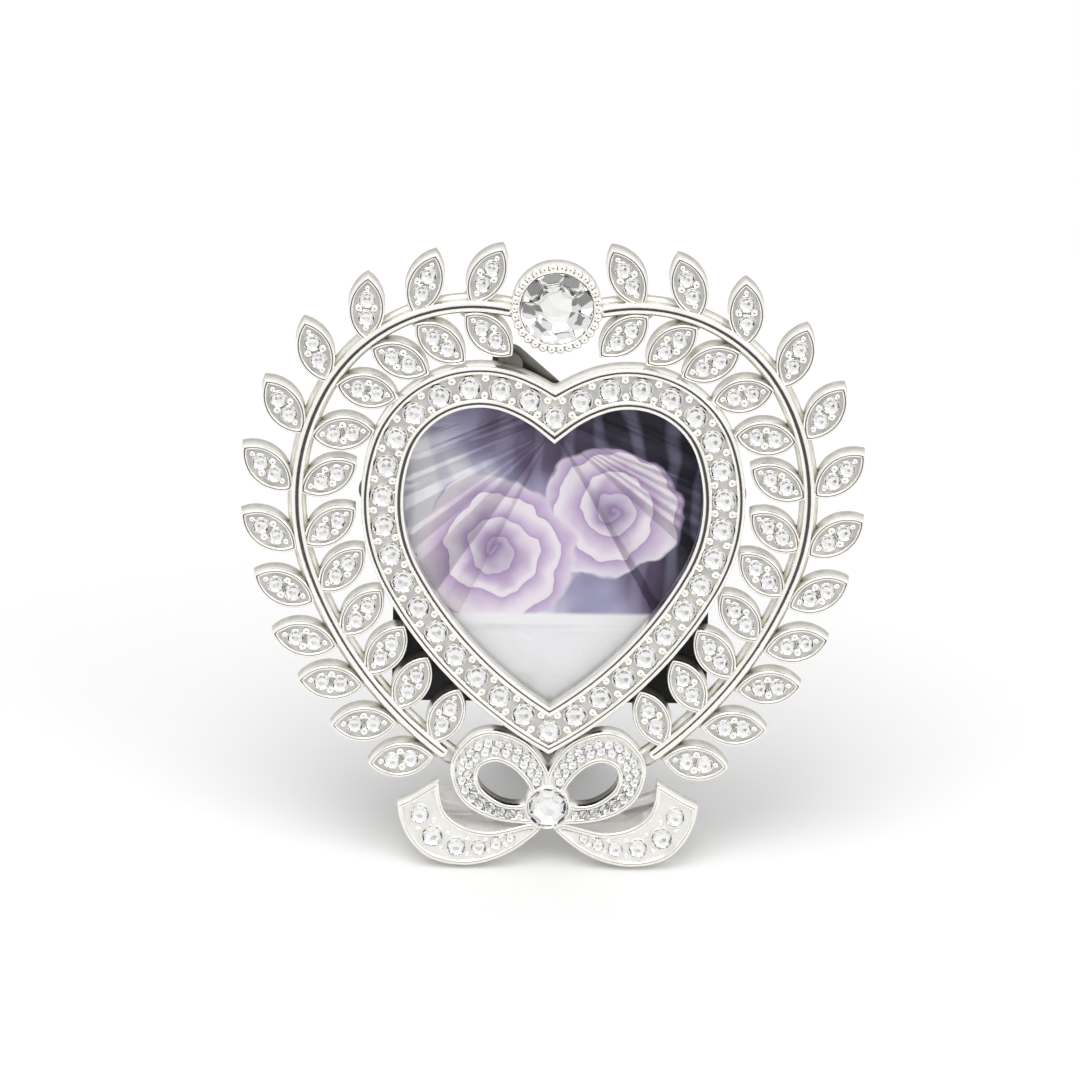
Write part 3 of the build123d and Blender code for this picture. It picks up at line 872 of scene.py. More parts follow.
def raise_rings(name: str, rings: list[list[Vector]], wrap: bool = False) -> Piece:
    """Extrudes a ring of edges step by step through the given rings.

    Args:
        name: The piece's name.
        rings: Rings with the same number of points.
        wrap: Whether the last ring joins the first; otherwise both ends are filled.

    Returns:
        The closed piece.
    """
    clear_selection()
    bpy.ops.mesh.primitive_circle_add(vertices=len(rings[0]), radius=1.0, fill_type="NOTHING")
    piece = bpy.context.object
    piece.name = name
    mark = piece.data.attributes.new("mark", "INT", "POINT")
    for index, vertex in enumerate(piece.data.vertices):
        mark.data[index].value = index
        vertex.co = rings[0][index]
    bpy.ops.object.mode_set(mode="EDIT")
    bpy.ops.mesh.select_mode(type="EDGE")
    bpy.ops.mesh.select_all(action="SELECT")
    for ring in rings[1:] + ([rings[0]] if wrap else []):
        bpy.ops.mesh.extrude_edges_move()
        mesh = bmesh.from_edit_mesh(piece.data)
        layer = mesh.verts.layers.int["mark"]
        for vertex in mesh.verts:
            if vertex.select:
                vertex.co = ring[vertex[layer]]
        bmesh.update_edit_mesh(piece.data)
    bpy.ops.mesh.select_all(action="SELECT")
    if not wrap:
        bpy.ops.mesh.fill_holes(sides=0)
    bpy.ops.object.mode_set(mode="OBJECT")
    piece.data.attributes.remove(piece.data.attributes["mark"])
    tidy_mesh(piece)
    return piece


def turned(name: str, stations: list[Station], sides: int, centre: Point = (0.0, 0.0), wrap: bool = False) -> Piece:
    """Turns a round piece up from its stations.

    Args:
        name: The piece's name.
        stations: Radius and height of each ring.
        sides: Points in a ring.
        centre: Where its axis stands on the face.
        wrap: Whether the last ring joins the first.

    Returns:
        The closed piece.
    """
    angles = [math.tau * k / sides for k in range(sides)]
    x, y = centre
    rings = [
        [Vector((x + radius * math.cos(angle), y + radius * math.sin(angle), height)) for angle in angles]
        for radius, height in stations
    ]
    return raise_rings(name, rings, wrap)


def cut_away(piece: Piece, cutter: Piece) -> None:
    """Takes one shape out of another.

    Args:
        piece: The piece that is cut.
        cutter: The shape to take away; it is used up.
    """
    cut = piece.modifiers.new("cut", "BOOLEAN")
    cut.operation = "DIFFERENCE"
    cut.object = cutter
    pick(piece)
    bpy.ops.object.modifier_apply(modifier=cut.name)
    bpy.data.objects.remove(cutter)


def copy_to(model: Piece, name: str, places: list[Matrix]) -> Piece:
    """Copies a model to each place and joins the copies into one piece.

    Args:
        model: The piece that repeats; it is used up.
        name: Name of the joined piece.
        places: Where each copy goes, on the face in mm.

    Returns:
        The joined piece.
    """
    copies = []
    for place in places:
        copy = model.copy()
        copy.data = model.data.copy()
        copy.matrix_world = place
        bpy.context.scene.collection.objects.link(copy)
        copies.append(copy)
    bpy.data.objects.remove(model)
    return join(name, copies)


def join(name: str, pieces: list[Piece]) -> Piece:
    """Joins pieces into one with its place in its mesh.

    Args:
        name: The new piece's name.
        pieces: The pieces; they are used up.

    Returns:
        The joined piece.
    """
    clear_selection()
    for piece in pieces:
        piece.select_set(True)
    bpy.context.view_layer.objects.active = pieces[0]
    if len(pieces) > 1:
        bpy.ops.object.join()
    joined = bpy.context.object
    bpy.ops.object.transform_apply(location=True, rotation=True, scale=True)
    joined.name = name
    joined.data.name = name
    return joined


def mirrored(piece: Piece, name: str) -> Piece:
    """Copies a piece to the other side of the middle plane.

    Args:
        piece: The piece, which stays.
        name: The copy's name.

    Returns:
        The copy.
    """
    copy = piece.copy()
    copy.data = piece.data.copy()
    copy.name = name
    copy.data.name = name
    bpy.context.scene.collection.objects.link(copy)
    pick(copy)
    bpy.ops.transform.resize(value=(-1.0, 1.0, 1.0), center_override=(0.0, 0.0, 0.0))
    bpy.ops.object.transform_apply(location=True, rotation=True, scale=True)
    bpy.ops.object.mode_set(mode="EDIT")
    bpy.ops.mesh.select_all(action="SELECT")
    bpy.ops.mesh.normals_make_consistent(inside=False)
    bpy.ops.object.mode_set(mode="OBJECT")
    return copy


def paint(piece: Piece, *materials: Material) -> None:
    """Fills a piece's slots; each face keeps its slot's number.

    Args:
        piece: The piece.
        materials: One material for each slot.
    """
    slots = [face.material_index for face in piece.data.polygons]
    piece.data.materials.clear()
    for material in materials:
        piece.data.materials.append(material)
    for face, slot in zip(piece.data.polygons, slots):
        face.material_index = min(slot, len(materials) - 1)


def register(piece: Piece, body: Body, nodes: tuple[str, ...]) -> None:
    """Puts a piece on its body and reports it.

    Args:
        piece: The piece, in metres in its place.
        body: The body that it rides on.
        nodes: CAD nodes that it stands for.
    """
    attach(piece, body.value)
    if nodes:
        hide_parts(*nodes)
    LOG.info("%s: %d faces on %s", piece.name, len(piece.data.polygons), body.value)


def hand_in(
        piece: Piece, body: Body, plane: Matrix = FACE, smooth: float | None = 35.0,
        replaces: tuple[str, ...] = ()) -> None:
    """Sets a finished piece in the world and on its body.

    Args:
        piece: The piece, in mm on its plane.
        body: The body that it rides on.
        plane: The plane it was made on.
        smooth: Edges sharper than this stay sharp; None leaves every face flat.
        replaces: CAD nodes that it stands for.
    """
    pick(piece)
    piece.matrix_world = Matrix.Scale(MM, 4) @ plane @ piece.matrix_world
    bpy.ops.object.transform_apply(location=True, rotation=True, scale=True)
    if smooth is not None:
        bpy.ops.object.shade_smooth_by_angle(angle=math.radians(smooth))
    register(piece, body, replaces)


def refined(frame: dict, node: str, name: str, edge_mm: float) -> Piece:
    """Copy of a CAD node with merged faces and softened edges.

    Args:
        node: The node's name.
        name: Name of the new piece.
        edge_mm: Width of the edge bevels.

    Returns:
        The piece, in metres in its place.
    """
    copy = bpy.data.objects.new(name, frame["nodes"][node].data.copy())
    bpy.context.scene.collection.objects.link(copy)
    pick(copy)
    bpy.ops.object.mode_set(mode="EDIT")
    bpy.ops.mesh.select_all(action="SELECT")
    bpy.ops.mesh.remove_doubles(threshold=0.002 * MM)
    bpy.ops.mesh.dissolve_limited(angle_limit=math.radians(1.0))
    bpy.ops.mesh.normals_make_consistent(inside=False)
    bpy.ops.object.mode_set(mode="OBJECT")
    bevel = copy.modifiers.new("edges", "BEVEL")
    bevel.width = edge_mm * MM
    bevel.segments = 2
    bevel.limit_method = "ANGLE"
    bevel.angle_limit = math.radians(40.0)
    bpy.ops.object.modifier_apply(modifier=bevel.name)
    bpy.ops.object.shade_smooth_by_angle(angle=math.radians(30.0))
    return copy


def set_on(piece: Piece, body: Body, slot: str, material: Material, *nodes: str) -> None:
    """Dresses a piece that is already in its place, in metres.

    Args:
        piece: The piece.
        body: The body that it rides on.
        slot: The record's material slot; not used.
        material: Its finish.
        nodes: CAD nodes that it stands for.
    """
    paint(piece, material)
    register(piece, body, nodes)


def back_faces(piece: Piece, high: float, slot: int = 2) -> None:
    """Gives the faces that look back, at the foot of a casting, the finish of a slot.

    Args:
        piece: The piece, on the face.
        high: Greatest height of such a face, in mm.
        slot: The slot's number.
    """
    for face in piece.data.polygons:
        if face.center.z < high and face.normal.z < -0.7:
            face.material_index = slot


def floor_faces(piece: Piece, height: float, slot: int = 1) -> None:
    """Gives the level faces of a bed the finish of a slot.

    Args:
        piece: The piece, on the face.
        height: The bed's height in mm.
        slot: The slot's number.
    """
    for face in piece.data.polygons:
        if abs(face.center.z - height) < 0.05 and abs(face.normal.z) > 0.9:
            face.material_index = slot


# ---- sub-assemblies


@dataclass(frozen=True)
class Brilliant:
    """Round stone cut in the brilliant style, one unit in radius, foiled behind."""

    sides: int = 8
    table: float = 0.58
    crown: float = 0.3
    pavilion_tilt: float = 14.0
    star_facets: int = 5
    star_tilt: float = 6.0
    star_reach: float = 0.42
    girdle_facets: bool = True
    girdle_half: float = 0.02
    main_reach: float = 0.985

    def facet(self, angle: float, tilt: float, reach: float, height: float) -> None:
        """Grinds one facet.

        Args:
            angle: Which way it faces, in degrees.
            tilt: How far it leans from level; negative on the pavilion.
            reach: Distance from the axis of a point on it.
            height: Height of that point.
        """
        turn, lean = math.radians(angle), math.radians(abs(tilt))
        out = Vector((math.cos(turn), math.sin(turn), 0.0))
        normal = out * math.sin(lean) + Vector((0.0, 0.0, math.copysign(math.cos(lean), tilt)))
        spot = out * reach + Vector((0.0, 0.0, height))
        bpy.ops.mesh.select_all(action="SELECT")
        bpy.ops.mesh.bisect(plane_co=spot, plane_no=normal, clear_outer=True, use_fill=True)

    def cut(self, name: str) -> Piece:
        """Cuts the stone from a round blank whose girdle is at height 0.

        Args:
            name: The stone's name.

        Returns:
            The stone, with slot 1 on the faces that are foiled.
        """
        clear_selection()
        slope = math.tan(math.radians(self.pavilion_tilt))
        depth = slope + 0.05
        bpy.ops.mesh.primitive_cylinder_add(
            vertices=self.sides * 4, radius=1.0, depth=self.crown + depth,
            location=(0.0, 0.0, (self.crown - depth) / 2))
        stone = bpy.context.object
        stone.name = name
        bpy.ops.object.transform_apply(location=True, rotation=False, scale=False)
        bpy.ops.object.mode_set(mode="EDIT")
        step, band, rim = 360 / self.sides, self.girdle_half, self.main_reach
        main = math.degrees(math.atan(self.crown / (1 - self.table)))
        for number in range(self.sides):
            self.facet(number * step, main, rim, band)
            self.facet(number * step, -self.pavilion_tilt, rim, -band)
        for number in range(self.sides):
            self.facet((number + 0.5) * step, main * 0.62, self.table * 1.03, self.crown)
        if self.girdle_facets:
            for number in range(2 * self.sides):
                self.facet((number / 2 + 0.25) * step, main * 1.22, 0.995, band)
                self.facet((number / 2 + 0.25) * step, -self.pavilion_tilt * 1.25, 0.995, -band)
        star_height = -band - (rim - self.star_reach) * slope
        for number in range(self.star_facets):
            self.facet(number * 360 / self.star_facets + 10.0, -self.star_tilt, self.star_reach, star_height)
        bpy.ops.mesh.select_all(action="SELECT")
        bpy.ops.mesh.remove_doubles(threshold=WELD)
        bpy.ops.mesh.normals_make_consistent(inside=False)
        bpy.ops.object.mode_set(mode="OBJECT")
        for face in stone.data.polygons:
            face.material_index = 1 if face.normal.z < -0.05 else 0
        return stone


@dataclass(frozen=True)
class StoneSetting:
    """Stones of one kind on a bed, each on a tapered seat."""

    finishes: Finishes
    cut: Brilliant
    base: float
    girdle: float

    def places(self, spots: list[Stone]) -> list[Matrix]:
        """Placements of the stones, whose girdles stand above the bed by a share of their radius.

        Args:
            spots: Each stone's X, Y, radius and turn in degrees.

        Returns:
            One matrix per stone.
        """
        return [
            Matrix.Translation((x, y, self.base + self.girdle * radius))
            @ Matrix.Rotation(math.radians(turn), 4, "Z") @ Matrix.Scale(radius, 4)
            for x, y, radius, turn in spots
        ]

    def gems(self, name: str, spots: list[Stone]) -> Piece:
        """Cuts the stones, in crystal over foil.

        Args:
            name: The piece's name.
            spots: Each stone's X, Y, radius and turn in degrees.

        Returns:
            The stones as one piece.
        """
        model = self.cut.cut("stone")
        paint(model, self.finishes.crystal, self.finishes.foil)
        return copy_to(model, name, self.places(spots))

    def collets(self, name: str, spots: list[Stone], section: list[Station], sides: int) -> Piece:
        """Turns the seats under the girdles.

        Args:
            name: The piece's name.
            spots: Each stone's X, Y, radius and turn in degrees.
            section: Radius and height of each ring of a seat, for a stone one unit in radius.
            sides: Points in a ring.

        Returns:
            The seats as one piece.
        """
        model = turned("seat", section, sides, wrap=True)
        paint(model, self.finishes.silver)
        return copy_to(model, name, self.places(spots))

    def stones(self, name: str, spots: list[Stone], *nodes: str) -> None:
        """Sets the stones on the frame.

        Args:
            name: The piece's name.
            spots: Each stone's X, Y, radius and turn in degrees.
            nodes: CAD nodes that they stand for.
        """
        hand_in(self.gems(name, spots), Body.FRAME, smooth=None, replaces=nodes)

    def seats(self, name: str, spots: list[Stone], sides: int = 16) -> None:
        """Sets a seat with a lip round each stone.

        Args:
            name: The piece's name.
            spots: Each stone's X, Y, radius and turn in degrees.
            sides: Points in a ring.
        """
        share, foot = 1.07, -self.girdle
        section = [(share * 1.05, foot), (share * 1.01, -0.08), (share * 0.99, 0.04), (share * 0.95, 0.05)]
        section += [(0.93, -0.1), (0.93, foot)]
        hand_in(self.collets(name, spots, section, sides), Body.FRAME)


def bead(sides: int, rings: int) -> Piece:
    """Raised bead, one unit in radius: a short upright wall under a shallow dome.

    Args:
        sides: Points round it.
        rings: Rings of the whole sphere that its dome is cut from.

    Returns:
        The bead.
    """
    dome, wall = math.radians(54.0), 0.45
    clear_selection()
    bpy.ops.mesh.primitive_uv_sphere_add(segments=sides, ring_count=rings, radius=1.0)
    piece = bpy.context.object
    piece.name = "bead"
    cap, wide = math.cos(dome), 1 / math.sin(dome)
    bpy.ops.object.mode_set(mode="EDIT")
    bpy.ops.mesh.select_all(action="SELECT")
    bpy.ops.mesh.bisect(plane_co=(0.0, 0.0, cap), plane_no=(0.0, 0.0, -1.0), clear_outer=True, use_fill=True)
    bpy.ops.mesh.select_all(action="SELECT")
    bpy.ops.transform.translate(value=(0.0, 0.0, -cap))
    bpy.ops.transform.resize(value=(wide, wide, wide), center_override=(0.0, 0.0, 0.0))
    bpy.ops.mesh.select_mode(type="FACE")
    bpy.ops.mesh.select_all(action="DESELECT")
    mesh = bmesh.from_edit_mesh(piece.data)
    for face in mesh.faces:
        face.select = face.normal.z < -0.9
    bmesh.update_edit_mesh(piece.data)
    bpy.ops.mesh.extrude_region_move(TRANSFORM_OT_translate={"value": (0.0, 0.0, -wall)})
    bpy.ops.object.mode_set(mode="OBJECT")
    return piece


def bead_row(
        name: str, spots: list[Triple], base: float, silver: Material, sides: int = 14, rings: int = 10) -> Piece:
    """Raises beads on a bed.

    Args:
        name: The piece's name.
        spots: Each bead's X, Y and radius.
        base: Height of their feet, a little above the bed so that they stand low.
        silver: Their finish.
        sides: Points round a bead.
        rings: Rings of the sphere that its dome is cut from.

    Returns:
        The beads as one piece.
    """
    model = bead(sides, rings)
    paint(model, silver)
    return copy_to(model, name, [
        Matrix.Translation((x, y, base)) @ Matrix.Scale(radius, 4) for x, y, radius in spots
    ])


@dataclass
class HeartBezel:
    """Heart with two rounded rims, a sunk channel of stones and beads, and the rabbet behind."""

    finishes: Finishes
    half_band: float = 3.4
    depth: float = 5.0
    outer_rim: float = 1.3
    inner_rim: float = 1.45
    rim_rise: float = 0.32
    floor: float = 4.1
    rabbet_depth: float = 1.4
    rabbet_ledge: float = 1.1
    side_stones: int = 17
    stone_radius: float = 1.82
    girdle: float = 0.44
    bead_radius: float = 0.7
    bead_offset: float = 1.42
    bead_lift: float = 0.22
    boss_radius: float = 1.6
    boss_height: float = 2.25

    def casting(self) -> None:
        """Casts the band from its section, led round the heart."""
        half, foot = self.half_band, self.depth - self.rim_rise
        section = [(half - 0.15, 0.0), (half, 0.15), (half, foot - 0.3)]
        section += bead_profile(half, half - self.outer_rim, foot, self.depth)
        section += [(half - self.outer_rim - 0.12, self.floor), (self.inner_rim - half + 0.12, self.floor)]
        section += bead_profile(self.inner_rim - half, -half, foot, self.depth)
        section += [(-half, self.rabbet_depth), (self.rabbet_ledge - half, self.rabbet_depth)]
        section += [(self.rabbet_ledge - half, 0.0)]
        rings = [lifted(heart_ring(grow), height) for grow, height in section]
        piece = raise_rings("heart_bezel", rings, wrap=True)
        paint(piece, self.finishes.silver, self.finishes.floor, self.finishes.back)
        floor_faces(piece, self.floor)
        back_faces(piece, self.rabbet_depth + 0.1)
        hand_in(piece, Body.FRAME, replaces=("heart_frame",))

    def bosses(self) -> None:
        """Turned bosses behind the heart, with tapered roots."""
        model = turned("boss", [
            (self.boss_radius + 0.5, 0.2), (self.boss_radius + 0.4, -0.1), (self.boss_radius, -0.5),
            (self.boss_radius, -self.boss_height + 0.15), (self.boss_radius - 0.15, -self.boss_height),
        ], 24)
        paint(model, self.finishes.back)
        piece = copy_to(model, "button_bosses", [Matrix.Translation((x, y, 0.0)) for x, y in BUTTON_SPOTS])
        hand_in(piece, Body.FRAME)

    def stone_spots(self) -> list[Stone]:
        """Places the stones from the notch round both sides to the tip.

        Returns:
            Each stone's X, Y, radius and turn.
        """
        spots = [(0.0, HEART.start[1], self.stone_radius, 22.5), (0.0, HEART.end[1], self.stone_radius, 0.0)]
        for number in range(1, self.side_stones + 1):
            place, heading = HEART.along(number / (self.side_stones + 1))
            # uneven turns let each stone catch the light in its own way
            spots.append((place.x, place.y, self.stone_radius, heading + 7 * number))
            spots.append((-place.x, place.y, self.stone_radius, -heading + 11 * number))
        return spots

    def bead_spots(self) -> list[Triple]:
        """Places a pair of beads between every two stones, one near each rim.

        Returns:
            Each bead's X, Y and radius.
        """
        spots = []
        for number in range(self.side_stones + 1):
            place, heading = HEART.along((number + 0.5) / (self.side_stones + 1))
            angle = math.radians(heading)
            out = Vector((-math.sin(angle), math.cos(angle)))
            for side in (1, -1):
                spot = place + out * side * self.bead_offset
                spots += [(spot.x, spot.y, self.bead_radius), (-spot.x, spot.y, self.bead_radius)]
        return spots

    def build(self) -> None:
        """Makes the casting, its bosses, stones and beads."""
        self.casting()
        self.bosses()
        setting = StoneSetting(self.finishes, Brilliant(), self.floor, self.girdle)
        spots = self.stone_spots()
        setting.stones("heart_crystals", spots, "heart_stones")
        setting.seats("heart_seats", spots)
        beads = bead_row("heart_beads", self.bead_spots(), self.floor + self.bead_lift, self.finishes.silver)
        hand_in(beads, Body.FRAME, smooth=60.0)


@dataclass
class LeafSpray:
    """Half of the wreath: a stem with its rod, and two rows of leaves set with stones."""

    finishes: Finishes
    outer_shares: tuple[float, ...] = (
        0.083, 0.167, 0.247, 0.33, 0.415, 0.502, 0.592, 0.677, 0.753, 0.826, 0.902, 0.977)
    outer_angles: tuple[float, ...] = (60, 50, 49, 52, 51, 50, 44, 42, 48, 48, 48, 46)
    inner_shares: tuple[float, ...] = (
        0.092, 0.169, 0.246, 0.325, 0.414, 0.504, 0.588, 0.665, 0.743, 0.815, 0.885, 0.963)
    inner_angles: tuple[float, ...] = (45, 59, 63, 69, 68, 59, 64, 66, 68, 72, 72, 74)
    outer_length: float = 10.9
    inner_length: float = 10.4
    width: float = 5.95
    droop: float = 0.12
    sag: float = 0.45
    outer_gap: float = 0.8
    inner_gap: float = 0.5
    lift: float = 0.3
    floor: float = 2.6
    crest: float = 3.3
    band_width: float = 3.0
    band_top: float = 2.0
    rod_width: float = 1.8
    rod_top: float = 3.9
    rod_run: tuple[float, float] = (0.026, 0.987)
    stem_length: float = 128.0
    rim_outer: float = 0.06
    rim_inner: float = 0.78
    stone_radius: float = 1.36
    stone_reach: float = 1.5
    girdle: float = 0.42
    seat_share: float = 1.05
    bead_radius: float = 0.66
    bead_reach: float = 1.27
    end_bead_radius: float = 0.5
    end_bead_reach: float = 3.3
    bead_lift: float = 0.2

    def coat(self, model: Piece) -> Piece:
        """Plates a piece in silver, with dull metal on its back.

        Args:
            model: The piece, on the face.

        Returns:
            The same piece.
        """
        paint(model, self.finishes.silver, self.finishes.floor, self.finishes.back)
        back_faces(model, 1.0)
        return model

    def leaf_outline(self, length: float, inset: float, height: float, steps: int = 18) -> list[Vector]:
        """Pointed leaf outline as a ring.

        Args:
            length: The whole leaf from point to point, in mm.
            inset: How far inside the leaf's edge the ring runs.
            height: Height of the ring.
            steps: Stretches along one edge.

        Returns:
            The ring's points.
        """
        radius = (length * length + self.width * self.width) / (4 * self.width)
        offset = radius - self.width / 2
        radius -= inset
        half = math.acos(offset / radius)
        upper = []
        for step in range(steps + 1):
            angle = -half + 2 * half * step / steps
            upper.append((radius * math.sin(angle), radius * math.cos(angle) - offset))
        lower = [(x, -y) for x, y in upper[-2:0:-1]]
        return [Vector((length / 2 + x, y, height)) for x, y in upper + lower]

    def leaf(self, length: float) -> Piece:
        """One leaf: drafted wall, rounded rim and sunk bed.

        Args:
            length: The whole leaf from point to point, in mm.

        Returns:
            The leaf, which points along X from its root.
        """
        foot = self.crest - 0.22
        stations = [(0.0, self.lift + 0.06), (0.1, 2.0), (self.rim_outer - 0.03, foot - 0.15)]
        stations += bead_profile(self.rim_outer, self.rim_inner, foot, self.crest)
        stations += [(self.rim_inner + 0.06, self.floor)]
        model = raise_rings("leaf", [self.leaf_outline(length, inset, z) for inset, z in stations])
        self.coat(model)
        floor_faces(model, self.floor)
        return model

    def web(self, lift: float, steps: int = 20) -> Piece:
        """Low cast web that ties a leaf's root to the stem.

        Args:
            lift: Height of its underside.
            steps: Points round it.

        Returns:
            The web.
        """
        start, length, width = 0.6, 2.3, 1.3
        rings = []
        for share, height in ((1.0, lift), (1.0, 1.1), (0.9, 1.35), (0.6, 1.45)):
            rings.append([
                Vector((start + length * share * math.cos(angle), width * share * math.sin(angle), height))
                for angle in (math.tau * k / steps for k in range(steps))
            ])
        return self.coat(raise_rings("web", rings))

    def places(self, shares: tuple[float, ...], angles: tuple[float, ...], gap: float, turn: int) -> list[Matrix]:
        """Places the leaves of a row.

        Args:
            shares: Each leaf's share of the stem's length.
            angles: How far each leaf turns out from the stem, in degrees.
            gap: Distance of the roots from the stem's middle, in mm.
            turn: 1 outside the stem and -1 inside.

        Returns:
            Where each leaf starts and points.
        """
        spots = []
        for share, angle in zip(shares, angles):
            place, heading = STEM.along(share)
            upward = heading + 180
            out = Vector((math.sin(math.radians(upward)), -math.cos(math.radians(upward)))) * turn
            start = place + out * gap
            aim = Matrix.Rotation(math.radians(upward - angle * turn), 4, "Z")
            spots.append(Matrix.Translation((start.x, start.y, 0.0)) @ aim)
        return spots

    def sweep(self, name: str, section: list[Station], ends: tuple[float, float], count: int = 110) -> Piece:
        """Section led along the stem with rounded ends.

        Args:
            name: The piece's name.
            section: Closed section of distance across and height.
            ends: Shares at both ends of the run.
            count: Stretches along the run.

        Returns:
            The piece.
        """
        first, last = ends
        middle = sum(z for _, z in section) / len(section)
        reach = max(o for o, _ in section)
        run = [(first + (last - first) * k / count, 1.0) for k in range(count + 1)]
        cap = [(0.0, 0.25), (0.12, 0.55), (0.35, 0.85), (0.7, 0.98)]
        head = [(first - reach * (1 - t) / self.stem_length, size) for t, size in cap]
        tail = [(last + reach * (1 - t) / self.stem_length, size) for t, size in reversed(cap)]
        rings = []
        for share, size in head + run + tail:
            inside = min(max(share, 0.0), 1.0)
            place, heading = STEM.along(inside)
            angle = math.radians(heading)
            out = Vector((-math.sin(angle), math.cos(angle)))
            ahead = Vector((math.cos(angle), math.sin(angle)))
            extra = (share - inside) * self.stem_length
            ring = []
            for across, height in section:
                spot = place + ahead * extra + out * across * size
                ring.append(Vector((spot.x, spot.y, middle + (height - middle) * size)))
            rings.append(ring)
        return raise_rings(name, rings)

    def stem(self) -> list[Piece]:
        """Casts the flat band and the rounded rod on it.

        Returns:
            Both pieces.
        """
        half, top = self.band_width / 2, self.band_top
        edge = [(half, self.lift), (half, top - 0.45), (half - 0.4, top - 0.08), (half - 0.6, top)]
        band = self.sweep("band", [(-o, z) for o, z in edge] + edge[::-1], (0.0, 1.0))
        reach = self.rod_width / 2
        arch = bead_profile(reach, -reach, self.rod_top - 0.45, self.rod_top, 10)
        rod = self.sweep("rod", [(-reach, 1.2)] + arch[::-1] + [(reach, 1.2)], self.rod_run)
        return [self.coat(band), self.coat(rod)]

    def row(self, length: float, raised: float, places: list[Matrix]) -> list[Piece]:
        """Casts the leaves of a row and the webs at their roots.

        Args:
            length: The whole leaf from point to point, in mm.
            raised: How far the webs' undersides stand above the leaves'.
            places: Where each leaf starts and points.

        Returns:
            The leaves and the webs.
        """
        row = copy_to(self.leaf(length), "leaves", places)
        # the leaves lean a little towards the foot of the frame, as the mould left them
        slide = self.droop * self.lift - self.sag
        row.data.transform(Matrix(((1, 0, 0, 0), (0, 1, -self.droop, slide), (0, 0, 1, 0), (0, 0, 0, 1))))
        lowered = Matrix.Translation((0.0, -self.sag / 2, 0.0))
        return [row, copy_to(self.web(self.lift + raised), "webs", [lowered @ place for place in places])]

    def on_bed(self, place: Matrix, along: float, across: float) -> Point:
        """Finds a place on a leaf's bed after its lean.

        Args:
            place: Where the leaf starts and points.
            along: Distance from its root, in mm.
            across: Distance from its middle line, in mm.

        Returns:
            X and Y on the face.
        """
        spot = place @ Vector((along, across, 0.0))
        return spot.x, spot.y - (self.sag + self.droop * (self.floor - self.lift))

    def build(self) -> None:
        """Makes the right half, then mirrors it."""
        # each row's webs start at their own height, so that no two undersides lie in one plane
        rows = (
            (self.outer_length, 0.14, self.places(self.outer_shares, self.outer_angles, self.outer_gap, 1)),
            (self.inner_length, 0.2, self.places(self.inner_shares, self.inner_angles, self.inner_gap, -1)),
        )
        leaves, stones, grains = [], [], []
        for length, raised, places in rows:
            leaves += self.row(length, raised, places)
            for number, place in enumerate(places):
                for side in (1, -1):
                    spot = self.on_bed(place, length / 2 + side * self.stone_reach, 0.0)
                    stones.append((*spot, self.stone_radius, 31.0 * number + 20 * side))
                    grains.append((*self.on_bed(place, length / 2, side * self.bead_reach), self.bead_radius))
                    tip = self.on_bed(place, length / 2 + side * self.end_bead_reach, 0.0)
                    grains.append((*tip, self.end_bead_radius))
        setting = StoneSetting(self.finishes, Brilliant(), self.floor, self.girdle)
        share, foot = self.seat_share, -self.girdle
        section = [(share * 1.03, foot), (share, 0.0), (share * 0.96, 0.04), (0.93, -0.1), (0.93, foot)]
        halves = (
            (join("wreath_right", [*self.stem(), *leaves]), "silver_plate", "spray", 35.0),
            (setting.gems("leaf_crystals_right", stones), "crystal", "leaf_stones", None),
            (bead_row("leaf_beads_right", grains, self.floor + self.bead_lift, self.finishes.silver, 12, 8),
             "silver_plate", "", 60.0),
            (setting.collets("leaf_seats_right", stones, section, 12), "silver_plate", "", 35.0),
        )
        for piece, slot, node, smooth in halves:
            left = mirrored(piece, piece.name.replace("right", "left"))
            for side, half in ((Side.RIGHT, piece), (Side.LEFT, left)):
                nodes = (f"{node}_{side.value}",) if node else ()
                hand_in(half, Body.FRAME, smooth=smooth, replaces=nodes)


@dataclass
class Crown:
    """Round setting at the top: a plain wall, a ledge of milgrain beads and one large stone."""

    finishes: Finishes
    height: float = 93.598
    wall: float = 7.2
    ledge: float = 3.95
    collar: float = 6.0
    top: float = 4.5
    bore_floor: float = 0.6
    stone_radius: float = 5.86
    stone_turn: float = 11.0
    bead_count: int = 30
    bead_radius: float = 0.67
    bead_lift: float = 0.2

    def build(self) -> None:
        """Turns the setting, sets the beads and the stone."""
        cup = turned("crown_setting", [
            (self.wall - 0.2, 0.0), (self.wall, 0.2), (self.wall, self.ledge - 0.25), (self.wall - 0.2, self.ledge),
            (self.collar + 0.34, self.ledge), (self.collar + 0.3, self.top - 0.15),
            (self.collar + 0.2, self.top - 0.03), (self.collar + 0.08, self.top),
            (self.collar - 0.06, self.top - 0.1), (self.collar - 0.12, self.top - 0.4),
            (self.collar - 0.12, self.bore_floor),
        ], 96, (0.0, self.height))
        paint(cup, self.finishes.silver, self.finishes.floor, self.finishes.back)
        back_faces(cup, 0.1)
        hand_in(cup, Body.FRAME, replaces=("crown_bezel",))
        ring = (self.wall + self.collar + 0.3) / 2
        spots = []
        for number in range(self.bead_count):
            angle = math.tau * number / self.bead_count
            spots.append((ring * math.cos(angle), self.height + ring * math.sin(angle), self.bead_radius))
        milgrain = bead_row("crown_milgrain", spots, self.ledge + self.bead_lift, self.finishes.silver, 16, 10)
        hand_in(milgrain, Body.FRAME, smooth=60.0)
        cut = Brilliant(table=0.56, crown=0.27, pavilion_tilt=23.0, star_tilt=11.0)
        setting = StoneSetting(self.finishes, cut, self.top - 0.15, 0.0)
        setting.stones("crown_crystal", [(0.0, self.height, self.stone_radius, self.stone_turn)], "crown_gem")


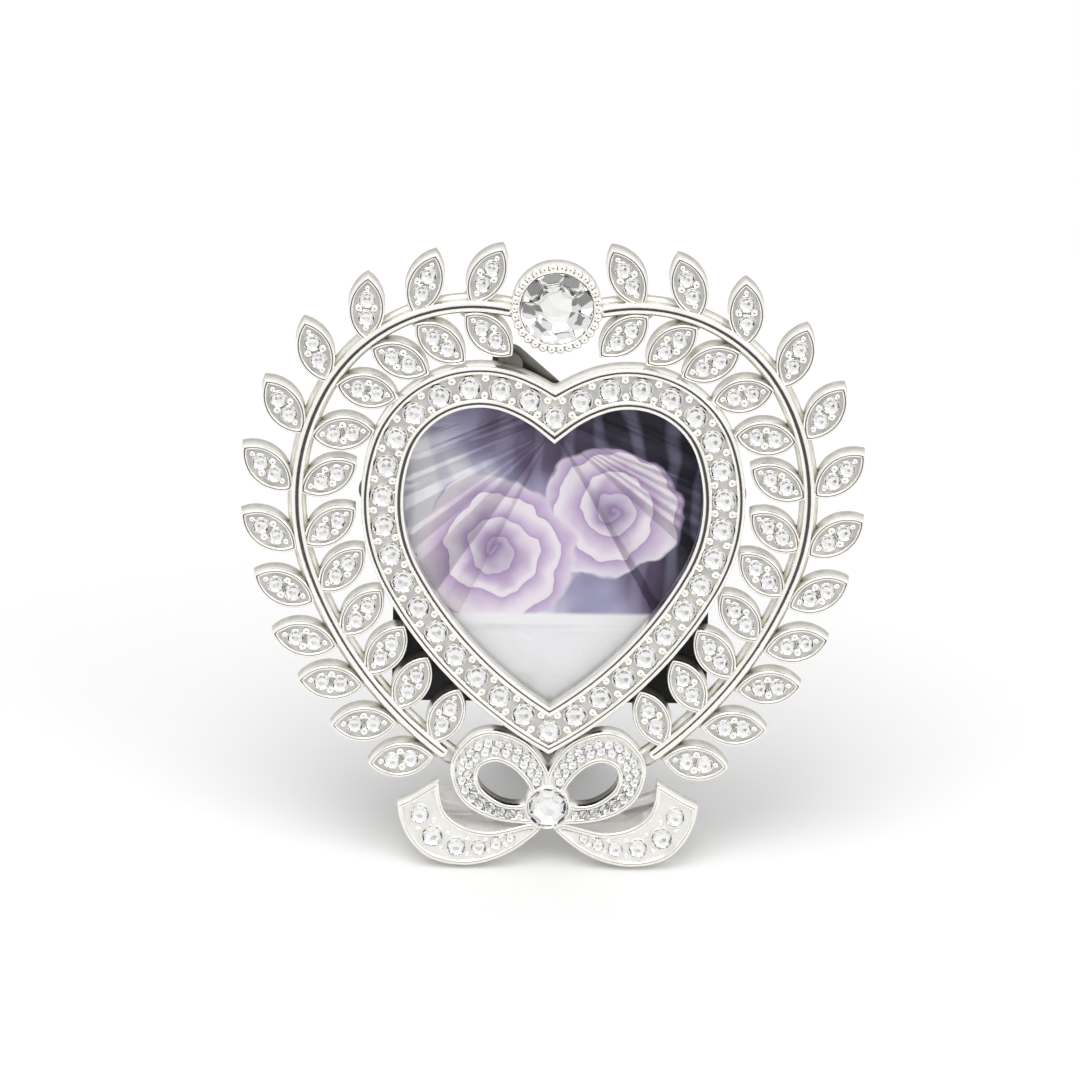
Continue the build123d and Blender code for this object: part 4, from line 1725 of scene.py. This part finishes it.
@dataclass
class Bow:
    """Ribbon bow: two rimmed loops and two swallow-tailed ends, paved with stones, and a knot stone."""

    finishes: Finishes
    reach: float = 24.4
    rise: float = 22.85
    foot: float = 0.1
    depth: float = 3.9
    rim: float = 0.8
    floor: float = 3.35
    knot: Point = (0.0, 10.2)
    knot_radius: float = 3.75
    gem_radius: float = 3.3
    gem_height: float = 4.42
    loop_shares: tuple[Point, ...] = (
        (0.0, 0.696), (0.108, 0.875), (0.235, 0.963), (0.383, 1.0), (0.5, 0.965), (0.583, 0.884), (0.64, 0.79),
        (0.65, 0.68), (0.625, 0.57), (0.567, 0.469), (0.47, 0.39), (0.346, 0.339), (0.217, 0.317), (0.083, 0.3125),
        (0.0, 0.34), (-0.01, 0.5),
    )
    hole_shares: tuple[Point, ...] = (
        (0.125, 0.58), (0.222, 0.706), (0.342, 0.768), (0.442, 0.732), (0.467, 0.643), (0.425, 0.549), (0.308, 0.464),
        (0.19, 0.448), (0.12, 0.49),
    )
    tail_shares: tuple[Point, ...] = (
        (0.042, 0.281), (0.13, 0.185), (0.24, 0.1), (0.36, 0.04), (0.47, 0.008), (0.567, 0.0), (0.7, 0.018),
        (0.82, 0.075), (0.92, 0.19), (0.98, 0.33), (1.0, 0.446), (0.908, 0.491), (0.725, 0.616), (0.715, 0.5),
        (0.683, 0.393), (0.61, 0.315), (0.504, 0.263), (0.375, 0.2455), (0.26, 0.27), (0.1, 0.3125),
    )
    sharp_corners: tuple[int, ...] = (10, 11, 12)
    tail_stones: tuple[Triple, ...] = (
        (0.85, 0.375, 0.85), (0.765, 0.215, 0.94), (0.605, 0.138, 0.85), (0.455, 0.132, 0.7), (0.34, 0.16, 0.56),
        (0.245, 0.205, 0.44),
    )
    stone_radius: float = 1.82
    tail_girdle: float = 0.32
    tail_bead_radius: float = 0.42
    bead_lift: float = 0.12
    paving_radius: float = 0.84
    paving_pitch: float = 1.72
    paving_girdle: float = 0.44

    def spot(self, share: Point) -> Point:
        """Place on the face from shares of reach and rise."""
        return (share[0] * self.reach, self.foot + share[1] * self.rise)

    def loop_line(self, shares: tuple[Point, ...], count: int = 96) -> list[Vector]:
        """Draws an edge of the right loop, from its point nearest the knot.

        Args:
            shares: The edge's corners as shares of reach and rise.
            count: How many points to return.

        Returns:
            The points of the closed line.
        """
        line = smooth_loop([self.spot(share) for share in shares][::-1], count)
        start = min(range(count), key=lambda k: (line[k] - Vector(self.knot)).length)
        return line[start:] + line[:start]

    def tail_outline(self, steps: int = 8) -> list[Vector]:
        """Draws the right end of the ribbon, curved but for the corners of its swallow tail.

        Args:
            steps: Stretches between two corners.

        Returns:
            The points of the closed line.
        """
        corners = [Vector(self.spot(share)) for share in self.tail_shares]
        total = len(corners)
        line = []
        for index in range(total):
            following = (index + 1) % total
            straight = index in self.sharp_corners[:2] or index == total - 1
            a = corners[index - 1] if index not in self.sharp_corners else corners[index]
            b, c = corners[index], corners[following]
            d = corners[(index + 2) % total] if following not in self.sharp_corners else c
            for step in range(steps):
                t = step / steps
                line.append(b.lerp(c, t) if straight else on_curve(a, b, c, d, t))
        return line

    def rimmed(self, name: str, outline: list[Vector], hole: list[Vector] | None = None) -> Piece:
        """Flat ribbon with rounded rims, a sunk bed and the bore of the knot's stone.

        Args:
            name: The piece's name.
            outline: Its outer edge, with the ribbon on the line's left.
            hole: The edge of the opening inside it, if it has one.

        Returns:
            The piece.
        """
        stations = [(0.12, 0.0), (0.0, 0.15), (0.0, self.depth - 0.4)]
        stations += [(self.rim - o, z) for o, z in bead_profile(self.rim, 0.0, self.depth - 0.24, self.depth)]
        stations += [(self.rim + 0.08, self.floor)]
        rings = [lifted(inset_loop(outline, distance), height) for distance, height in stations]
        if hole is not None:
            rings += [lifted(inset_loop(hole, -distance), height) for distance, height in reversed(stations)]
        piece = raise_rings(name, rings, wrap=hole is not None)
        clear_selection()
        bpy.ops.mesh.primitive_cylinder_add(
            vertices=40, radius=self.gem_radius + 0.1, depth=4.0, location=(*self.knot, 3.8))
        cut_away(piece, bpy.context.object)
        return piece

    def cup(self) -> Piece:
        """Turns the knot from its underside to its lip and down the bore of its stone.

        Returns:
            The knot.
        """
        wall, bore = self.knot_radius, self.gem_radius - 0.05
        # its underside stands 0.09 mm behind the ribbon's, so that the two never lie in one plane
        knot = turned("knot", [
            (wall - 0.3, -0.09), (wall, 0.2), (wall, 3.7), (wall - 0.1, 4.3), (self.gem_radius + 0.12, 4.5),
            (bore, 4.35), (bore, 1.5),
        ], 40, self.knot)
        paint(knot, self.finishes.silver, self.finishes.ribbon, self.finishes.back)
        back_faces(knot, 0.1)
        return knot

    def casting(self, outline: list[Vector], hole: list[Vector]) -> None:
        """Casts the loops, the tails and the knot in one.

        Args:
            outline: Outer edge of the right loop.
            hole: Its inner edge.
        """
        right = join("bow_right", [self.rimmed("loop", outline, hole), self.rimmed("tail", self.tail_outline())])
        paint(right, self.finishes.silver, self.finishes.ribbon, self.finishes.back)
        floor_faces(right, self.floor)
        back_faces(right, 0.1)
        left = mirrored(right, "bow_left")
        hand_in(join("bow_casting", [right, left, self.cup()]), Body.FRAME, replaces=("bow",))

    def set_tails(self) -> None:
        """Sets the graded stones of the tails and the beads between them."""
        graded = []
        for number, (across, up, size) in enumerate(self.tail_stones):
            x, y = self.spot((across, up))
            graded += [(side * x, y, size * self.stone_radius, side * 33.0 * number) for side in (1, -1)]
        setting = StoneSetting(self.finishes, Brilliant(), self.floor, self.tail_girdle)
        setting.stones("tail_crystals", graded, "tail_stones")
        setting.seats("tail_seats", graded)
        grains = []
        for before, after in zip(self.tail_stones, self.tail_stones[1:]):
            first, second = Vector(self.spot(before[:2])), Vector(self.spot(after[:2]))
            ahead = (second - first).normalized()
            out = Vector((-ahead.y, ahead.x)) * self.stone_radius * (before[2] + after[2]) * 0.44
            for side in (1, -1):
                spot = (first + second) / 2 + out * side
                grains += [(spot.x, spot.y, self.tail_bead_radius), (-spot.x, spot.y, self.tail_bead_radius)]
        beads = bead_row("tail_beads", grains, self.floor + self.bead_lift, self.finishes.silver)
        hand_in(beads, Body.FRAME, smooth=60.0)

    def pave(self, outline: list[Vector], hole: list[Vector]) -> None:
        """Paves the loops with two rows of small stones, which stop at the knot.

        Args:
            outline: Outer edge of the right loop.
            hole: Its inner edge.
        """
        paving = []
        edges = list(zip(inset_loop(outline, self.rim), inset_loop(hole, -self.rim)))
        for row, share in enumerate((0.33, 0.67)):
            line = [a.lerp(b, share) for a, b in edges]
            length = sum((line[k] - line[k - 1]).length for k in range(len(line)))
            for number, place in enumerate(even_loop(line, round(length / self.paving_pitch))):
                if (place - Vector(self.knot)).length > self.knot_radius + 0.9 and place.x > 0.9:
                    paving.append((place.x, place.y, self.paving_radius, 40.0 * number + 20 * row))
        paving += [(-x, y, radius, -turn) for x, y, radius, turn in paving]
        cut = Brilliant(sides=6, girdle_facets=False)
        setting = StoneSetting(self.finishes, cut, self.floor, self.paving_girdle)
        setting.stones("loop_paving", paving)
        setting.seats("loop_seats", paving, 10)

    def build(self) -> None:
        """Casts the bow and sets every stone."""
        outline, hole = self.loop_line(self.loop_shares), self.loop_line(self.hole_shares)
        self.casting(outline, hole)
        cut = Brilliant(crown=0.24, pavilion_tilt=16.0, star_tilt=6.5)
        setting = StoneSetting(self.finishes, cut, self.gem_height, 0.0)
        setting.stones("bow_crystal", [(*self.knot, self.gem_radius, 0.0)], "bow_gem")
        self.set_tails()
        self.pave(outline, hole)


@dataclass
class PictureStack:
    """Pane, print and back board behind the opening."""

    finishes: Finishes
    frame: dict

    def build(self) -> None:
        """Finishes the pane and the print where they are, and softens the board."""
        for node, material in (("clear_pane", self.finishes.sheet), ("photo_insert", self.finishes.picture)):
            paint(self.frame["nodes"][node], material)
        board = refined(self.frame, "back_board", "covered_board", 0.35)
        set_on(board, Body.FRAME, "velvet_board", self.finishes.velvet, "back_board")


@dataclass
class TurnButtons:
    """Three pear shaped plates, each on its slotted screw."""

    finishes: Finishes
    frame: dict
    seat: float = -3.0
    turns: tuple[float, ...] = (25.0, 100.0, -40.0)
    head_radius: float = 1.5
    head_height: float = 0.8
    shank_radius: float = 0.8
    shank_length: float = 2.9
    slot_size: Triple = (4.0, 0.36, 0.6)
    slot_height: float = -0.75

    def screw(self) -> Piece:
        """Pan head screw with a slot sawn across it, head down from height 0.

        Returns:
            The screw.
        """
        screw = turned("screw", [
            (self.shank_radius, self.shank_length), (self.shank_radius, 0.0), (self.head_radius, 0.0),
            (self.head_radius, -0.25), (self.head_radius * 0.93, -0.48), (self.head_radius * 0.75, -0.66),
            (self.head_radius * 0.45, -0.77), (self.head_radius * 0.15, -self.head_height),
        ], 24)
        clear_selection()
        bpy.ops.mesh.primitive_cube_add(size=1.0, location=(0.0, 0.0, self.slot_height), scale=self.slot_size)
        cut_away(screw, bpy.context.object)
        paint(screw, self.finishes.button)
        return screw

    def build(self) -> None:
        """Softens the plates and sets the screws."""
        for body in (Body.TOP, Body.LEFT, Body.RIGHT):
            plate = refined(self.frame, body.value, body.value + "_plate", 0.15)
            set_on(plate, body, "button_steel", self.finishes.button, body.value)
        places = [
            Matrix.Translation((x, y, self.seat)) @ Matrix.Rotation(math.radians(turn), 4, "Z")
            for (x, y), turn in zip(BUTTON_SPOTS, self.turns)
        ]
        screws = copy_to(self.screw(), "slotted_screws", places)
        hand_in(screws, Body.FRAME, replaces=("button_screws",))


@dataclass
class EaselLeg:
    """Covered leg and its pressed hinge with domed rivets."""

    finishes: Finishes
    frame: dict
    rivet_radius: float = 1.2
    rivet_height: float = 0.4
    board_rivets: tuple[Triple, ...] = ((-4.5, HINGE_HEIGHT + 5.9, -2.7), (4.5, HINGE_HEIGHT + 5.9, -2.7))
    leg_rivets: tuple[Triple, ...] = ((0.0, -3.767, -3.25), (0.0, -8.0, -3.25))

    def rivets(self, name: str, spots: tuple[Triple, ...]) -> Piece:
        """Turns domed rivet heads.

        Args:
            name: The piece's name.
            spots: Where each head's foot stands on its plane, in mm.

        Returns:
            The rivets as one piece.
        """
        rivet = turned("rivet", [
            (self.rivet_radius, 0.05), (self.rivet_radius, -0.1), (self.rivet_radius * 0.88, -0.24),
            (self.rivet_radius * 0.6, -0.35), (self.rivet_radius * 0.2, -self.rivet_height),
        ], 20)
        paint(rivet, self.finishes.hinge)
        return copy_to(rivet, name, [Matrix.Translation(spot) for spot in spots])

    def build(self) -> None:
        """Softens the leg and hinge, and sets the rivets."""
        velvet, steel = ("velvet_board", self.finishes.velvet), ("hinge_steel", self.finishes.hinge)
        for node, name, edge_mm, body, (slot, material) in (
                ("easel_leg", "covered_leg", 0.35, Body.LEG, velvet),
                ("hinge_plate", "hinge_leaf", 0.08, Body.FRAME, steel),
                ("leg_bracket", "leg_leaf", 0.08, Body.LEG, steel)):
            set_on(refined(self.frame, node, name, edge_mm), body, slot, material, node)
        paint(self.frame["nodes"]["hinge_pin"], self.finishes.hinge)
        on_board = self.rivets("board_rivets", self.board_rivets)
        hand_in(on_board, Body.FRAME, replaces=("hinge_rivets",))
        on_leg = self.rivets("strut_rivets", self.leg_rivets)
        hand_in(on_leg, Body.LEG, plane=LEG, replaces=("leg_rivets",))


# ---- studio


@dataclass
class Studio:
    """Pale floor, soft light, and the camera at the photograph's angle."""

    white: str = "FEFEFE"
    level: float = 0.76
    gap_level: float = 0.07
    gap_level_in_stones: float = 0.24
    flag_spread: float = 19.0
    flag_elevation: float = -6.0
    flag_edge: float = 3.0
    distance: float = 1500.0
    azimuth: float = -1.2
    elevation: float = 27.6
    roll: float = 1.3
    view_width: float = 174.0
    sensor: float = 36.0
    aim: Triple = (-2.0, 54.9, 3.0)

    def floor(self) -> None:
        """Level sheet under the object that shows only its shadow."""
        clear_selection()
        bpy.ops.mesh.primitive_plane_add(size=1.0, location=(0.0, 1.2, 0.0), scale=(1.0, 1.0, 1.0))
        sheet = bpy.context.object
        sheet.name = "floor"
        bpy.ops.transform.resize(value=(5.0, 3.0, 1.0), center_override=(0.0, 1.2, 0.0))
        bpy.ops.object.transform_apply(location=True, rotation=True, scale=True)
        material, tree, shader = new_material("white_card")
        # the card's tooth, a little over a millimetre across
        grain = add_node(tree, "ShaderNodeTexNoise", {"Scale": 900.0, "Detail": 2.0})
        tone = add_node(tree, "ShaderNodeMix", {
            0: grain.outputs[0], 6: linear(self.white), 7: linear("FFFFFF"),
        }, data_type="RGBA").outputs[2]
        tree.links.new(tone, shader.inputs["Base Color"])
        shader.inputs["Roughness"].default_value = 0.9
        shader.inputs["Specular IOR Level"].default_value = 0.1
        paint(sheet, material)

    def surroundings(self) -> None:
        """White tent with the dark gap that the camera looks through, which draws the thin lines on the rims."""
        world = bpy.data.worlds.new("tent")
        bpy.context.scene.world = world
        world.use_nodes = True
        tree = world.node_tree
        place = add_node(tree, "ShaderNodeTexCoord")
        tilt = math.radians(self.flag_elevation)
        facing = add_node(tree, "ShaderNodeVectorMath", {
            0: place.outputs["Generated"], 1: (0.0, -math.cos(tilt), math.sin(tilt)),
        }, operation="DOT_PRODUCT")
        gap = add_node(tree, "ShaderNodeMapRange", {
            "Value": facing.outputs["Value"],
            "From Min": math.cos(math.radians(self.flag_spread + self.flag_edge)),
            "From Max": math.cos(math.radians(self.flag_spread - self.flag_edge)),
            "To Min": 1.0, "To Max": self.gap_level,
        })
        # light that left through a stone met its dark gap after many bounces, so the gap is paler there
        pale = add_node(tree, "ShaderNodeMapRange", {
            "Value": gap.outputs[0], "To Min": self.gap_level_in_stones, "To Max": 1.0,
        })
        ray = add_node(tree, "ShaderNodeLightPath")
        through, glossy = ray.outputs["Is Transmission Ray"], ray.outputs["Is Glossy Ray"]
        seen = add_node(tree, "ShaderNodeMix", {
            0: through, 2: gap.outputs[0], 3: pale.outputs[0],
        }, data_type="FLOAT")
        mirror = add_node(tree, "ShaderNodeMath", {0: glossy, 1: through}, operation="MAXIMUM")
        lit = add_node(tree, "ShaderNodeMix", {
            0: mirror.outputs[0], 2: self.level, 3: seen.outputs[0],
        }, data_type="FLOAT")
        strength = add_node(tree, "ShaderNodeMix", {
            0: ray.outputs["Is Camera Ray"], 2: lit.outputs[0], 3: 1.0,
        }, data_type="FLOAT")
        back = tree.nodes["Background"]
        back.inputs["Color"].default_value = (1.0, 1.0, 1.0, 1.0)
        tree.links.new(strength.outputs[0], back.inputs["Strength"])

    def lamp(self, name: str, place: Triple, size: float, power: float) -> None:
        """Soft square lamp aimed at the object.

        Args:
            name: The lamp's name.
            place: Where it hangs, in metres.
            size: Its width in metres.
            power: Its power in watts.
        """
        clear_selection()
        bpy.ops.object.light_add(type="AREA", location=place)
        lamp = bpy.context.object
        lamp.name = name
        lamp.data.size = size
        lamp.data.energy = power
        lamp.rotation_euler = (Vector((0.0, 0.0, 0.05)) - Vector(place)).to_track_quat("-Z", "Y").to_euler()

    def camera(self) -> None:
        """Camera that looks down at the leaning face, turned as the photograph is."""
        clear_selection()
        azimuth, elevation = math.radians(self.azimuth), math.radians(self.elevation)
        level = math.cos(elevation)
        back = Vector((math.sin(azimuth) * level, -math.cos(azimuth) * level, math.sin(elevation)))
        target = (FACE @ Vector(self.aim)) * MM
        bpy.ops.object.camera_add(location=target + back * self.distance * MM)
        camera = bpy.context.object
        turn = (-back).to_track_quat("-Z", "Y").to_matrix() @ Matrix.Rotation(math.radians(self.roll), 3, "Z")
        camera.rotation_euler = turn.to_euler()
        camera.data.sensor_width = self.sensor
        camera.data.lens = self.sensor * self.distance / self.view_width
        camera.data.clip_start = 0.01
        camera.data.clip_end = 20.0
        bpy.context.scene.camera = camera

    def build(self) -> None:
        """Lays the floor, hangs the lights and sets the camera."""
        self.floor()
        self.surroundings()
        self.lamp("key", (-0.35, -0.75, 2.2), 1.6, 17.0)
        self.lamp("fill", (1.4, -1.2, 1.4), 1.2, 5.0)
        self.camera()
        bpy.context.scene.view_settings.view_transform = "Standard"


def main() -> None:
    """Loads the frame, builds every sub-assembly over it and sets up the studio."""
    logging.basicConfig(level=logging.INFO, format="%(message)s")
    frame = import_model()
    finishes = Finishes()
    for assembly in (
            HeartBezel(finishes), LeafSpray(finishes), Crown(finishes), Bow(finishes),
            PictureStack(finishes, frame), TurnButtons(finishes, frame), EaselLeg(finishes, frame), Studio()):
        assembly.build()
    clear_selection()
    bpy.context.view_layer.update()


if __name__ == "__main__":
    main()
